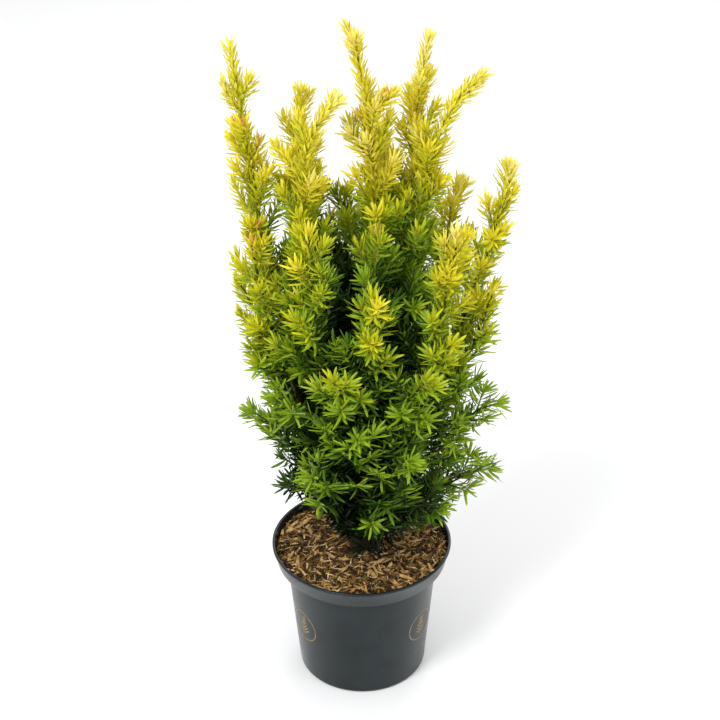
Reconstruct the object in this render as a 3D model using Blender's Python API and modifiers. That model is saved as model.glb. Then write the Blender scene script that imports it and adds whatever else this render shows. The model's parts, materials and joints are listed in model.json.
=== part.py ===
"""A young golden English yew in its nursery pot, at its real size, in metres with +Z up.

The pot stands on Z = 0 round the Z axis, and the plant's front is -Y. One trunk runs up through the
crown. Boughs leave it and end where they enter a mass of foliage, and the lower masses leave the trunk
itself. A mass is one solid: a stem that carries the limb on, the twigs that branch from it by a seeded
rule, and the needles drawn out of the sides of stem and twigs. It keeps to the space that is nearer to
its own lines than to any other limb's.
"""

import math
import random
from collections import namedtuple

import bmesh
import bpy
import numpy as np
from mathutils import Vector, geometry, kdtree, noise

GAP = 0.0003  # clear space between neighbouring solids
WELD = 0.000001
PATH_STEP = 0.006  # between the points of a limb's line
LINE_SAMPLE = 0.003  # between the points that distances are measured from

# The pot: a tapering body under a wider collar
POT_HEIGHT = 0.143
RIM_RADIUS = 0.088
COLLAR_HEIGHT = 0.018
COLLAR_FOOT_RADIUS = 0.0835
SHOULDER_DROP = 0.004
BODY_TOP_RADIUS = 0.0738
BASE_RADIUS = 0.0635
BASE_ROUNDING = 0.003
POT_WALL = 0.0015
POT_FLOOR = 0.002
POT_STEPS = 36
DRAIN_HOLES = 6
DRAIN_SIDES = 8
DRAIN_HOLE_RADIUS = 0.004
DRAIN_RING_RADIUS = 0.047

# The soil under its layer of shredded bark
SOIL_TOP = 0.134
SOIL_FLAT_RADIUS = 0.024
SOIL_RINGS = 4
SOIL_STEPS = 24
SOIL_RELIEF = 0.0022
SOIL_NOISE_SCALE = 60.0

# The trunk
TRUNK_TOP = 0.395
TRUNK_LEAN = 0.012
TRUNK_BOW = 0.004
TRUNK_FOOT_RADIUS = 0.0085
TRUNK_TIP_RADIUS = 0.0026
ROOT_FLARE = 0.0055
ROOT_FLARE_HEIGHT = 0.014
TRUNK_RINGS = 10
TRUNK_SAMPLE = 0.01
TRUNK_SIDES = 10

# Limbs thicken away from their tips, and a leader's first share is a bare bough
SHOOT_TIP_RADIUS = 0.0009
LIMB_TAPER = 0.0078
BOUGH_SHARE = 0.17
BOUGH_STEP = 0.024
BOUGH_SIDES = 6
START_SPREAD = 20.0
MOST_START_SPREAD = 80.0
START_HANDLE = 0.34
TIP_HANDLE = 0.22
TIP_NEEDLES = 0.008  # how far the last needles reach past a stem's tip

# Twigs leave a stem at the golden angle from each other
TWIG_LONGEST = 0.044
TWIG_SHARE = 0.3
TWIG_SPACING = 0.042
TWIG_FIRST = 0.012
TWIG_LAST_SHARE = 0.80
TWIG_SPLAY = 46.0
TWIG_LIFT = 0.35
TWIG_ROLL = 137.5
TWIG_TRIES = 7
TWIG_TURN = 51.0
TWIG_POINTS = 6
TWIG_SHORTENING = 0.62
TWIG_BASE_RADIUS = 0.0014
TWIG_CLEARANCE = 0.0085
SEED = 7

# Needles, longest on the lowest limbs
SIDES = 3
LOW_NEEDLE = 0.021
LOW_HEIGHT = 0.20
TOP_NEEDLE = 0.0165
TOP_HEIGHT = 0.67
NEEDLE_PITCH = 0.0112
NEEDLE_GROWTH = 1.3  # larger than life, as the needles are fewer
NEEDLE_SPLAY = 54.0
NEEDLE_END_SPLAY = 32.0
NEEDLE_CLEARANCE = 0.0022
NEEDLE_TRIES = (1.0, 0.72, 0.48)
NEEDLE_SHARES = (0.15, 0.4, 0.7, 1.0)
NEEDLE_SHORTENING = 0.25
CORE_START = 0.010
TWIG_CORE_START = 0.008
GOLD_HEIGHT = 0.45
BUD_LENGTH = 0.006

Limb = namedtuple("Limb", "name fork heading reach height lean lean_heading", defaults=[None])

# Where each limb ends: its fork's height on the trunk, the heading and reach of its tip from the pot's
# axis, the tip's height, and how far and, where it isn't straight out, which way the tip leans. Lengths
# are metres and angles degrees. A heading of 0 is +X, the right-hand side, and of -90 the front.
LEADERS = [
    Limb("west_leader", 0.232, 174, 0.107, 0.649, 7),
    Limb("northwest_leader", 0.284, 143, 0.062, 0.600, -6),
    Limb("hooked_leader", 0.322, -123, 0.024, 0.611, 52, 0),
    Limb("northeast_leader", 0.301, 27, 0.069, 0.649, 15),
    Limb("east_hooked_leader", 0.261, 0, 0.108, 0.625, 53),
    Limb("east_leader", 0.214, 8, 0.138, 0.534, 14),
    Limb("north_leader", 0.271, 100, 0.074, 0.487, 5),
    Limb("front_left_leader", 0.241, -130, 0.066, 0.507, 0),
    Limb("west_front_leader", 0.217, -168, 0.096, 0.484, 6),
    Limb("front_inner_leader", 0.312, -68, 0.040, 0.498, 6),
    Limb("front_leader", 0.259, -81, 0.071, 0.456, 4),
    Limb("front_right_leader", 0.238, -31, 0.098, 0.505, 5),
    Limb("east_low_leader", 0.190, -6, 0.121, 0.428, 16),
    Limb("west_low_leader", 0.204, 170, 0.114, 0.424, 30),
    Limb("back_east_leader", 0.289, 70, 0.066, 0.556, 8),
    Limb("back_west_leader", 0.249, 121, 0.098, 0.540, 6),
    Limb("back_leader", 0.219, 84, 0.106, 0.470, 10),
    Limb("east_back_leader", 0.237, 36, 0.112, 0.500, 10),
]

# The lower limbs, which carry needles all the way from the trunk
SPRAYS = [
    Limb("west_mid_spray", 0.184, -178, 0.103, 0.366, 58),
    Limb("west_low_spray", 0.164, 176, 0.109, 0.290, 66),
    Limb("east_mid_spray", 0.170, -2, 0.134, 0.302, 80),
    Limb("east_low_spray", 0.152, 5, 0.131, 0.216, 95),
    Limb("east_front_low_spray", 0.160, -28, 0.092, 0.210, 96),
    Limb("front_right_low_spray", 0.172, -58, 0.090, 0.284, 66),
    Limb("front_low_spray", 0.186, -92, 0.084, 0.314, 60),
    Limb("front_left_low_spray", 0.168, -126, 0.084, 0.262, 66),
    Limb("front_foot_spray", 0.156, -79, 0.058, 0.202, 62),
    Limb("front_right_mid_spray", 0.201, -52, 0.098, 0.372, 46),
    Limb("front_left_mid_spray", 0.209, -106, 0.090, 0.378, 46),
    Limb("back_low_spray", 0.180, 82, 0.092, 0.296, 62),
    Limb("back_west_low_spray", 0.170, 132, 0.096, 0.268, 66),
    Limb("back_east_low_spray", 0.164, 46, 0.100, 0.262, 68),
    Limb("back_foot_spray", 0.157, 104, 0.060, 0.206, 64),
    Limb("back_east_mid_spray", 0.196, 58, 0.104, 0.376, 44),
    Limb("back_west_mid_spray", 0.200, 112, 0.102, 0.384, 44),
]

# The mass on the trunk's own tip
CENTRAL_LEADER = Limb("central_leader", None, 180, 0.011, 0.672, 22)

LIMBS = [*LEADERS, *SPRAYS, CENTRAL_LEADER]


class Path:
    """A line through points that is read by distance from its start."""

    def __init__(self, points):
        self.points = [Vector(point) for point in points]
        self.marks = [0.0]
        for a, b in zip(self.points, self.points[1:]):
            self.marks.append(self.marks[-1] + (b - a).length)
        self.length = self.marks[-1]

    def span(self, distance):
        index = 0
        while index < len(self.marks) - 2 and self.marks[index + 1] < distance:
            index += 1
        return index

    def at(self, distance):
        index = self.span(distance)
        step = self.marks[index + 1] - self.marks[index]
        return self.points[index].lerp(self.points[index + 1], (distance - self.marks[index]) / step)

    def along(self, distance):
        index = self.span(distance)
        return (self.points[index + 1] - self.points[index]).normalized()

    def part(self, start, end, step):
        count = max(2, round((end - start) / step) + 1)
        return Path([self.at(start + (end - start) * i / (count - 1)) for i in range(count)])


def direction(heading, from_upright):
    """The unit vector at this heading that leans this many degrees from upright."""
    turn, lean = math.radians(heading), math.radians(from_upright)
    return Vector((math.sin(lean) * math.cos(turn), math.sin(lean) * math.sin(turn), math.cos(lean)))


def trunk_centre(height):
    """The trunk's centre at this height: it stands upright at its foot, then leans and bows a little."""
    share = (height - SOIL_TOP) / (TRUNK_TOP - SOIL_TOP)
    lean = TRUNK_LEAN * share * share
    bow = TRUNK_BOW * math.sin(math.pi * share) ** 2
    return Vector((lean - bow, bow, height))


def trunk_radius(height):
    share = (height - SOIL_TOP) / (TRUNK_TOP - SOIL_TOP)
    flare = ROOT_FLARE * math.exp(-(height - SOIL_TOP) / ROOT_FLARE_HEIGHT)
    return TRUNK_FOOT_RADIUS + (TRUNK_TIP_RADIUS - TRUNK_FOOT_RADIUS) * share**0.8 + flare


def limb_path(limb):
    """The limb's whole line, from the trunk's centre to the tip of its mass."""
    tip_heading = limb.heading if limb.lean_heading is None else limb.lean_heading
    tip = Vector((*(limb.reach * direction(limb.heading, 90)).xy, limb.height))
    tip -= direction(tip_heading, limb.lean) * TIP_NEEDLES
    start = trunk_centre(limb.fork or TRUNK_TOP)
    length = (tip - start).length
    bend = tip - direction(tip_heading, limb.lean) * length * TIP_HANDLE
    if limb.fork is None:
        start_direction = (start - trunk_centre(TRUNK_TOP - 0.01)).normalized()
    else:
        way = bend - start
        from_upright = math.degrees(math.atan2(way.xy.length, way.z))
        start_heading = math.degrees(math.atan2(way.y, way.x))
        start_direction = direction(start_heading, min(from_upright + START_SPREAD, MOST_START_SPREAD))
    handle = start + start_direction * length * START_HANDLE
    return Path(geometry.interpolate_bezier(start, handle, bend, tip, round(length / PATH_STEP)))


def twig_path(start, along, outward, length):
    """A twig's line, which leaves the stem at an angle and curves up."""
    splay = math.radians(TWIG_SPLAY)
    heading = along * math.cos(splay) + outward * math.sin(splay)
    shares = [i / TWIG_POINTS for i in range(TWIG_POINTS + 1)]
    lift = Vector((0, 0, TWIG_LIFT * length))
    return Path([start + heading * length * share + lift * share * share for share in shares])


def outward_at(along, roll):
    """The unit vector square to this direction at this roll round it."""
    level = along.cross(Vector((0.31, 0.95, 0.02))).normalized()
    return level * math.cos(roll) + along.cross(level) * math.sin(roll)


class Line:
    """One bough, stem or twig: its path, its radius by distance along it, and the mass that owns it."""

    def __init__(self, path, radius_at, owner, buried=0.0):
        self.path = path
        self.radius_at = radius_at
        self.owner = owner
        self.buried = buried  # the length at its start that lies inside what it grows from
        marks = np.arange(buried, path.length, LINE_SAMPLE)
        self.samples = np.array([path.at(mark) for mark in marks])
        self.radii = np.array([radius_at(mark) for mark in marks])

    def clear_of(self, other):
        """The least distance between the surfaces of this line and another."""
        gaps = np.linalg.norm(self.samples[:, None] - other.samples[None], axis=2)
        return (gaps - self.radii[:, None] - other.radii[None]).min()


class Samples:
    """Points on lines, for the distance to the nearest of their surfaces."""

    def __init__(self, lines, to_surface):
        points = [(point, radius) for line in lines for point, radius in zip(line.samples, line.radii)]
        self.radii = [radius if to_surface else 0.0 for _, radius in points]
        self.tree = kdtree.KDTree(len(points))
        for index, (point, _) in enumerate(points):
            self.tree.insert(point, index)
        self.tree.balance()

    def distance(self, point):
        _, index, distance = self.tree.find(point)
        return distance - self.radii[index]


class Space:
    """The space that one mass keeps to: nearer to its own lines than to any other."""

    def __init__(self, owner, lines):
        self.own = Samples([line for line in lines if line.owner == owner], False)
        self.rest = Samples([line for line in lines if line.owner != owner], True)

    def holds(self, root, tip):
        for share in NEEDLE_SHARES:
            point = root.lerp(tip, share)
            spare = self.rest.distance(point) - self.own.distance(point)
            if spare < NEEDLE_CLEARANCE * (1 - 0.5 * share):
                return False
        return True


def tapering(length, end_radius, slope):
    """A function for the radius of a line of this length at each distance along it."""
    return lambda mark: end_radius + slope * (length - mark)


def limb_lines(limb):
    """The lines of a limb: its stem, and before that its bough if it has one."""
    whole = limb_path(limb)
    if limb.fork is None:
        return [Line(whole.part(GAP, whole.length, PATH_STEP), limb_radius(whole.length), limb.name)]
    buried = trunk_radius(limb.fork) + GAP
    if limb not in LEADERS:
        return [Line(whole, limb_radius(whole.length), limb.name, buried)]
    bough_length = whole.length * BOUGH_SHARE
    bough = whole.part(0.0, bough_length, BOUGH_STEP)
    stem = whole.part(bough_length + GAP, whole.length, PATH_STEP)
    return [
        Line(stem, limb_radius(stem.length), limb.name),
        Line(bough, limb_radius(whole.length), bough_name(limb), buried),
    ]


def limb_radius(to_tip):
    return tapering(to_tip, SHOOT_TIP_RADIUS, LIMB_TAPER)


def bough_name(limb):
    return f"{limb.name}_bough"


def grow_twigs(limb, stem, lines):
    """Branches the mass's stem: each twig that finds a clear way is added to the lines."""
    start = stem.buried + TWIG_FIRST
    end = stem.path.length * TWIG_LAST_SHARE
    count = max(1, round((end - start) / TWIG_SPACING))
    longest = min(TWIG_LONGEST, stem.path.length * TWIG_SHARE)
    draw = random.Random(f"{SEED} {limb.name}")
    roll = draw.uniform(0, 360)
    others = [line for line in lines if line.owner != limb.name]
    for number in range(count):
        share = (number + draw.uniform(0.3, 0.7)) / count
        mark = start + (end - start) * share
        length = longest * (1 - TWIG_SHORTENING * share) * draw.uniform(0.85, 1.1)
        along = stem.path.along(mark)
        for attempt in range(TWIG_TRIES):
            outward = outward_at(along, math.radians(roll + attempt * TWIG_TURN))
            path = twig_path(stem.path.at(mark), along, outward, length)
            slope = (TWIG_BASE_RADIUS - SHOOT_TIP_RADIUS) / path.length
            radius_at = tapering(path.length, SHOOT_TIP_RADIUS, slope)
            twig = Line(path, radius_at, limb.name, stem.radius_at(mark) + LINE_SAMPLE)
            if all(twig.clear_of(line) > TWIG_CLEARANCE for line in others):
                lines.append(twig)
                break
        roll += TWIG_ROLL


def needle_length(limb):
    share = (limb.height - LOW_HEIGHT) / (TOP_HEIGHT - LOW_HEIGHT)
    return (LOW_NEEDLE + (TOP_NEEDLE - LOW_NEEDLE) * share) * NEEDLE_GROWTH


def clear_scene():
    for item in list(bpy.data.objects):
        bpy.data.objects.remove(item, do_unlink=True)


def new_collection(name):
    collection = bpy.data.collections.new(name)
    bpy.context.scene.collection.children.link(collection)
    return collection


def new_material(name, colour, roughness):
    material = bpy.data.materials.new(name)
    material.use_nodes = True
    shader = material.node_tree.nodes["Principled BSDF"]
    shader.inputs["Base Color"].default_value = (*colour, 1.0)
    shader.inputs["Roughness"].default_value = roughness
    shader.inputs["Metallic"].default_value = 0.0
    return material


def new_object(name, mesh, collection, material=None):
    item = bpy.data.objects.new(name, mesh)
    collection.objects.link(item)
    if material:
        mesh.materials.clear()
        mesh.materials.append(material)
    return item


def evaluated_mesh(item):
    """The object's mesh with its modifiers applied."""
    graph = bpy.context.evaluated_depsgraph_get()
    return bpy.data.meshes.new_from_object(item.evaluated_get(graph))


def write_mesh(mesh, shape):
    """Turns the faces outwards and writes the shape to the mesh."""
    bmesh.ops.recalc_face_normals(shape, faces=shape.faces)
    if shape.calc_volume(signed=True) < 0:
        bmesh.ops.reverse_faces(shape, faces=shape.faces)
    shape.to_mesh(mesh)
    shape.free()
    return mesh


def tube_curve(name, points, radii, tilts, helpers):
    """A curve object through the points, with a radius and a tilt at each."""
    curve = bpy.data.curves.new(name, "CURVE")
    curve.dimensions = "3D"
    curve.use_fill_caps = True
    spline = curve.splines.new("POLY")
    spline.points.add(len(points) - 1)
    for spot, point, radius, tilt in zip(spline.points, points, radii, tilts):
        spot.co = (*point, 1)
        spot.radius = radius
        spot.tilt = tilt
    return new_object(name, curve, helpers)


def limb_mesh(name, points, radii, sides, helpers):
    """A smooth tapering limb as a closed mesh: a bevelled curve with its caps welded."""
    item = tube_curve(name, points, radii, [0.0] * len(points), helpers)
    item.data.bevel_depth = 1.0
    item.data.bevel_resolution = sides // 2 - 2
    shape = bmesh.new()
    shape.from_mesh(evaluated_mesh(item))
    bpy.data.objects.remove(item, do_unlink=True)
    bmesh.ops.remove_doubles(shape, verts=shape.verts, dist=WELD)
    return write_mesh(bpy.data.meshes.new(name), shape)


def needled_mesh(name, line, needle, space, first, section, helpers):
    """A three-sided stem or twig along the line, with needles drawn out of two sides of each row."""
    path = line.path
    count = max(1, round((path.length - first) / NEEDLE_PITCH))
    marks = [0.0] + [first + (path.length - first) * i / count for i in range(count + 1)]
    tilts = [number * math.pi / SIDES for number in range(len(marks))]
    item = tube_curve(name, [path.at(mark) for mark in marks], map(line.radius_at, marks), tilts, helpers)
    item.data.bevel_mode = "OBJECT"
    item.data.bevel_object = section
    shape = bmesh.new()
    shape.from_mesh(evaluated_mesh(item))
    bpy.data.objects.remove(item, do_unlink=True)
    shape.verts.ensure_lookup_table()

    # The points of the two caps come first, then those of each ring. One side in turn stays bare
    sides = [face for face in shape.faces if len(face.verts) == 4]
    for number, face in enumerate(sides):
        ring = min(vert.index for vert in face.verts) // SIDES - 2
        if ring > 0 and number % SIDES != ring % SIDES:
            draw_needle(shape, face, path, marks[ring], marks[ring + 1], needle, space)
    bmesh.ops.remove_doubles(shape, verts=shape.verts, dist=WELD)
    end = path.at(path.length)
    cap = min(shape.faces, key=lambda face: (face.calc_center_median() - end).length)
    bud = bmesh.ops.poke(shape, faces=[cap])["verts"][0]
    bud.co = end + path.along(path.length) * BUD_LENGTH
    bmesh.ops.triangulate(shape, faces=shape.faces, quad_method="SHORT_EDGE")
    return write_mesh(bpy.data.meshes.new(name), shape)


def draw_needle(shape, face, path, start, end, needle, space):
    """Pokes the face and draws its middle out to a needle's tip, as long as the space allows."""
    middle_mark = (start + end) / 2
    root = path.at(middle_mark)
    along = path.along(middle_mark)
    outward = face.calc_center_median() - root
    outward = (outward - along * outward.dot(along)).normalized()
    share = middle_mark / path.length
    splay = math.radians(NEEDLE_SPLAY + (NEEDLE_END_SPLAY - NEEDLE_SPLAY) * share**3)
    heading = along * math.cos(splay) + outward * math.sin(splay)
    for part in NEEDLE_TRIES:
        tip = root + heading * needle * part * (1 - NEEDLE_SHORTENING * share * share)
        if space.holds(path.at(start), tip) and space.holds(path.at(end), tip):
            middle = bmesh.ops.poke(shape, faces=[face])["verts"][0]
            middle.co = tip
            return


def cut_away(item, cutter, solver="EXACT"):
    """Cuts the cutter out of the object, and keeps the result as its mesh."""
    cut = item.modifiers.new("Cut", "BOOLEAN")
    cut.operation = "DIFFERENCE"
    cut.object = cutter
    cut.solver = solver
    item.data = evaluated_mesh(item)
    item.modifiers.clear()


def join(item, twigs):
    """Joins a collection of twigs to the object, keeps the result as its mesh and removes the twigs."""
    union = item.modifiers.new("Join twigs", "BOOLEAN")
    union.operation = "UNION"
    union.operand_type = "COLLECTION"
    union.collection = twigs
    union.solver = "MANIFOLD"
    mesh = evaluated_mesh(item)
    item.modifiers.clear()
    for twig in list(twigs.objects):
        bpy.data.objects.remove(twig, do_unlink=True)
    bpy.data.collections.remove(twigs)
    item.data = outer_shell(mesh)


def outer_shell(mesh):
    """Keeps the largest shell of a mesh, without scraps or sealed hollows."""
    shape = bmesh.new()
    shape.from_mesh(mesh)
    left, shells = set(shape.faces), []
    while left:
        shell, reached = set(), [left.pop()]
        while reached:
            face = reached.pop()
            shell.add(face)
            near = {other for edge in face.edges for other in edge.link_faces} & left
            left -= near
            reached += near
        shells.append(shell)
    largest = max(shells, key=len)
    bmesh.ops.delete(shape, geom=[face for face in shape.faces if face not in largest], context="FACES")
    shape.to_mesh(mesh)
    shape.free()
    return mesh


def inner_profile(inset):
    """The pot's inner side from the floor's centre up to the rim, moved in from the wall."""
    edge = POT_WALL + inset
    floor = POT_FLOOR + inset
    shoulder = POT_HEIGHT - COLLAR_HEIGHT + POT_WALL
    return [
        (0.0, floor),
        (BASE_RADIUS - edge, floor),
        (BODY_TOP_RADIUS - edge, shoulder - SHOULDER_DROP),
        (COLLAR_FOOT_RADIUS - edge, shoulder + inset),
        (RIM_RADIUS - edge, POT_HEIGHT),
    ]


def outer_profile():
    """The pot's outer side from the rim down to the base's centre."""
    collar_foot = POT_HEIGHT - COLLAR_HEIGHT
    corner = [math.radians(-30 * i) for i in range(4)]
    return [
        (RIM_RADIUS, POT_HEIGHT),
        (COLLAR_FOOT_RADIUS, collar_foot),
        (BODY_TOP_RADIUS, collar_foot - SHOULDER_DROP),
        *[
            (BASE_RADIUS - BASE_ROUNDING * (1 - math.cos(turn)), BASE_ROUNDING * (1 + math.sin(turn)))
            for turn in corner
        ],
        (0.0, 0.0),
    ]


def turned_object(name, profile, steps, collection):
    """Turns a profile of radius and height round the Z axis."""
    mesh = bpy.data.meshes.new(name)
    edges = [(i, i + 1) for i in range(len(profile) - 1)]
    mesh.from_pydata([(radius, 0.0, height) for radius, height in profile], edges, [])
    item = new_object(name, mesh, collection)
    screw = item.modifiers.new("Turn", "SCREW")
    screw.steps = screw.render_steps = steps
    screw.use_merge_vertices = True
    screw.merge_threshold = WELD
    return item


def make_pot(parts, cutters):
    profile = inner_profile(0.0) + outer_profile()
    pot = turned_object("pot", profile, POT_STEPS, parts)
    pot.data = evaluated_mesh(pot)
    pot.modifiers.clear()
    pot.data.materials.append(new_material("pot plastic", (0.018, 0.022, 0.028), 0.38))
    for number in range(DRAIN_HOLES):
        turn = math.tau * number / DRAIN_HOLES
        place = (DRAIN_RING_RADIUS * math.cos(turn), DRAIN_RING_RADIUS * math.sin(turn), 0.0)
        bpy.ops.mesh.primitive_cylinder_add(
            vertices=DRAIN_SIDES, radius=DRAIN_HOLE_RADIUS, depth=POT_FLOOR * 4, location=place
        )
        drill = bpy.context.object
        drill.name = f"drain_cutter_{number + 1}"
        move_to(drill, cutters)
    drain = pot.modifiers.new("Drain holes", "BOOLEAN")
    drain.operation = "DIFFERENCE"
    drain.operand_type = "COLLECTION"
    drain.collection = cutters
    smooth(pot.data, 35)


def move_to(item, collection):
    """Moves a helper object to the collection, and keeps it out of renders."""
    for old in list(item.users_collection):
        old.objects.unlink(item)
    collection.objects.link(item)
    item.hide_render = True
    item.display_type = "WIRE"


def smooth(mesh, degrees):
    mesh.shade_smooth()
    mesh.set_sharp_from_angle(angle=math.radians(degrees))


def make_soil(parts):
    """The soil fills the pot up to the collar. Its top is uneven, but flat round the trunk."""
    wall = inner_profile(GAP)
    foot, rim = wall[-2], wall[-1]
    edge = foot[0] + (rim[0] - foot[0]) * (SOIL_TOP - foot[1]) / (rim[1] - foot[1])
    step = (edge - SOIL_FLAT_RADIUS) / SOIL_RINGS
    top = [(0.0, SOIL_TOP)] + [(SOIL_FLAT_RADIUS + step * i, SOIL_TOP) for i in range(SOIL_RINGS + 1)]
    soil = turned_object("soil", top + wall[-2::-1], SOIL_STEPS, parts)
    mesh = evaluated_mesh(soil)
    soil.modifiers.clear()
    for vert in mesh.vertices:
        radius = vert.co.xy.length
        if vert.co.z > SOIL_TOP - WELD and SOIL_FLAT_RADIUS + WELD < radius < edge - WELD:
            vert.co.z += SOIL_RELIEF * noise.noise(vert.co * SOIL_NOISE_SCALE)
    mesh.materials.append(new_material("bark mulch", (0.19, 0.115, 0.06), 0.95))
    soil.data = mesh


def trunk_mesh(name, extra, helpers):
    """The trunk, its radius grown by this much, on a flat foot just above the soil."""
    foot = SOIL_TOP + GAP
    shares = [(i / TRUNK_RINGS) ** 1.5 for i in range(TRUNK_RINGS + 1)]
    points = [trunk_centre(foot + (TRUNK_TOP - foot) * share) for share in shares]
    radii = [trunk_radius(point.z) + extra for point in points]
    return limb_mesh(name, points, radii, TRUNK_SIDES, helpers)


def make_bough(line, parts, helpers, trunk_cutter, bark):
    radii = [line.radius_at(mark) for mark in line.path.marks]
    mesh = limb_mesh(line.owner, line.path.points, radii, BOUGH_SIDES, helpers)
    bough = new_object(line.owner, mesh, parts, bark)
    cut_away(bough, trunk_cutter)
    smooth(bough.data, 50)


def make_mass(limb, lines, parts, helpers, trunk_cutter, section, material):
    """One mass of foliage: its stem with needles, joined to its twigs with theirs."""
    space = Space(limb.name, lines)
    needle = needle_length(limb)
    stem, *twig_lines = [line for line in lines if line.owner == limb.name]
    mesh = needled_mesh(limb.name, stem, needle, space, stem.buried + CORE_START, section, helpers)
    mass = new_object(limb.name, mesh, parts, material)
    if stem.buried:
        cut_away(mass, trunk_cutter, "MANIFOLD")
    twigs = new_collection(f"{limb.name}_twigs")
    for number, line in enumerate(twig_lines):
        name = f"{limb.name}_twig_{number + 1}"
        mesh = needled_mesh(name, line, needle, space, TWIG_CORE_START, section, helpers)
        new_object(name, mesh, twigs)
    join(mass, twigs)


def make_foliage(parts, helpers, trunk_cutter):
    """Every bough and mass: first all their lines, and then their solids in the space between the lines."""
    bark = new_material("young bark", (0.115, 0.045, 0.028), 0.8)
    gold = new_material("golden needles", (0.52, 0.47, 0.04), 0.5)
    green = new_material("green needles", (0.10, 0.24, 0.03), 0.5)
    steps = round((TRUNK_TOP - SOIL_TOP) / TRUNK_SAMPLE)
    trunk_path = Path([trunk_centre(SOIL_TOP + TRUNK_SAMPLE * step) for step in range(steps + 1)])
    lines = [Line(trunk_path, lambda mark: trunk_radius(SOIL_TOP + mark), "trunk")]
    for limb in LIMBS:
        lines += limb_lines(limb)
    for line in list(lines):
        if line.owner.endswith("_bough"):
            make_bough(line, parts, helpers, trunk_cutter, bark)
    for limb in LIMBS:
        stem = next(line for line in lines if line.owner == limb.name)
        grow_twigs(limb, stem, lines)
    section = needle_section(helpers)
    for limb in LIMBS:
        material = gold if limb.height > GOLD_HEIGHT else green
        make_mass(limb, lines, parts, helpers, trunk_cutter, section, material)


def needle_section(helpers):
    """The section of stems and twigs: a triangle, which a curve sweeps along itself."""
    curve = bpy.data.curves.new("twig_section", "CURVE")
    spline = curve.splines.new("POLY")
    spline.points.add(SIDES - 1)
    for number, spot in enumerate(spline.points):
        turn = -math.tau * number / SIDES
        spot.co = (math.cos(turn), math.sin(turn), 0, 1)
    spline.use_cyclic_u = True
    section = new_object("twig_section", curve, helpers)
    section.hide_render = True
    section.display_type = "WIRE"
    return section


def main():
    clear_scene()
    parts = new_collection("english_yew")
    drain_cutters = new_collection("drain_cutters")
    helpers = new_collection("cutters")
    make_pot(parts, drain_cutters)
    make_soil(parts)
    bark = new_material("trunk bark", (0.10, 0.04, 0.026), 0.85)
    trunk = new_object("trunk", trunk_mesh("trunk", 0.0, helpers), parts, bark)
    smooth(trunk.data, 50)
    trunk_cutter = new_object("trunk_cutter", trunk_mesh("trunk_cutter", GAP, helpers), helpers)
    move_to(trunk_cutter, helpers)
    make_foliage(parts, helpers, trunk_cutter)


main()
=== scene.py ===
# A young golden English yew in a nursery pot: its bark, mulch, needles and finishes, in metres with +Z up

import json
import math
import random
from collections import namedtuple

import bmesh
import bpy
import numpy as np
from mathutils import Matrix, Quaternion, Vector, geometry, noise

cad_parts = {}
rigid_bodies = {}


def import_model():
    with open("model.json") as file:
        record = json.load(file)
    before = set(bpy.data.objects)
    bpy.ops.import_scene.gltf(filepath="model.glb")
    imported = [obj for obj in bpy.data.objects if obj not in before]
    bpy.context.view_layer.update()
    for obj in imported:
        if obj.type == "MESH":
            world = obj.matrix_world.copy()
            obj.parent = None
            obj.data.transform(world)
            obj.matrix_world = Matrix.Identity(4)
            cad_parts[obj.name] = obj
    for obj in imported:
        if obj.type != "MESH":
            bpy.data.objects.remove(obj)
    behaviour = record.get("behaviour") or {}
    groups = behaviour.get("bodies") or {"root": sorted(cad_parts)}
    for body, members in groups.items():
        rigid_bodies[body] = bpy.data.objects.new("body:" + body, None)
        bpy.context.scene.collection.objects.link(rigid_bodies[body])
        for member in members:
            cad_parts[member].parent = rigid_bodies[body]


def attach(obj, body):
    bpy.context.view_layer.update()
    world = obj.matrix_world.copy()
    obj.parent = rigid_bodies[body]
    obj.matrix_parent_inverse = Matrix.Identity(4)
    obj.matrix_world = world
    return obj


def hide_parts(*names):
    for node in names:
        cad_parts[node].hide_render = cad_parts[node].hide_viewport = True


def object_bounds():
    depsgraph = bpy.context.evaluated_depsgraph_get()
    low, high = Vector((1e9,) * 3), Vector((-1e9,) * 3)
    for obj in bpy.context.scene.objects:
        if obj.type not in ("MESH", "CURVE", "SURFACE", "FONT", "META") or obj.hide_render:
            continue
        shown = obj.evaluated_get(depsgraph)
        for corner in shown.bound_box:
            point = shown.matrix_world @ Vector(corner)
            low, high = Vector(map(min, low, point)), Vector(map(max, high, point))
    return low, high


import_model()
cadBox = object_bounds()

weld = 1e-6  # points nearer than this are one
evenly = (1.0, 1.0, 1.0)  # a pattern that isn't stretched


# Camera, lights and floor

view = {
    "distance": 1.2862,  # from the pot's axis, along -Y
    "height": 1.1063,
    "tilt": 0.533,  # below the horizon, in radians
    "roll": -0.009,
    "focalPixels": 1619.7,  # in a picture 720 pixels wide
    "pictureWidth": 720,
    "sensor": 36.0,
}
studio = {
    "skyStrength": 0.85,
    "lights": {  # power, place and size
        "keyLight": (36.0, (-1.0, -1.3, 2.3), 0.9),
        "fillLight": (9.0, (1.7, -1.0, 1.5), 1.3),
        "backLight": (9.0, (0.4, 1.7, 1.6), 1.4),
    },
    "aim": (0.0, 0.0, 0.33),
    "floorReach": 12.0,
    "floorParts": 8,
    "floorColour": (0.93, 0.935, 0.94),
    "floorShade": 0.99,
}


def addCamera():
    data = bpy.data.cameras.new("photoCamera")
    data.sensor_width = view["sensor"]
    data.lens = view["sensor"] * view["focalPixels"] / view["pictureWidth"]
    camera = bpy.data.objects.new("photoCamera", data)
    place = Matrix.Translation((0, -view["distance"], view["height"]))
    tilt = Matrix.Rotation(math.pi / 2 - view["tilt"], 4, "X")
    camera.matrix_world = place @ tilt @ Matrix.Rotation(view["roll"], 4, "Z")
    bpy.context.scene.collection.objects.link(camera)
    bpy.context.scene.camera = camera


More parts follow.
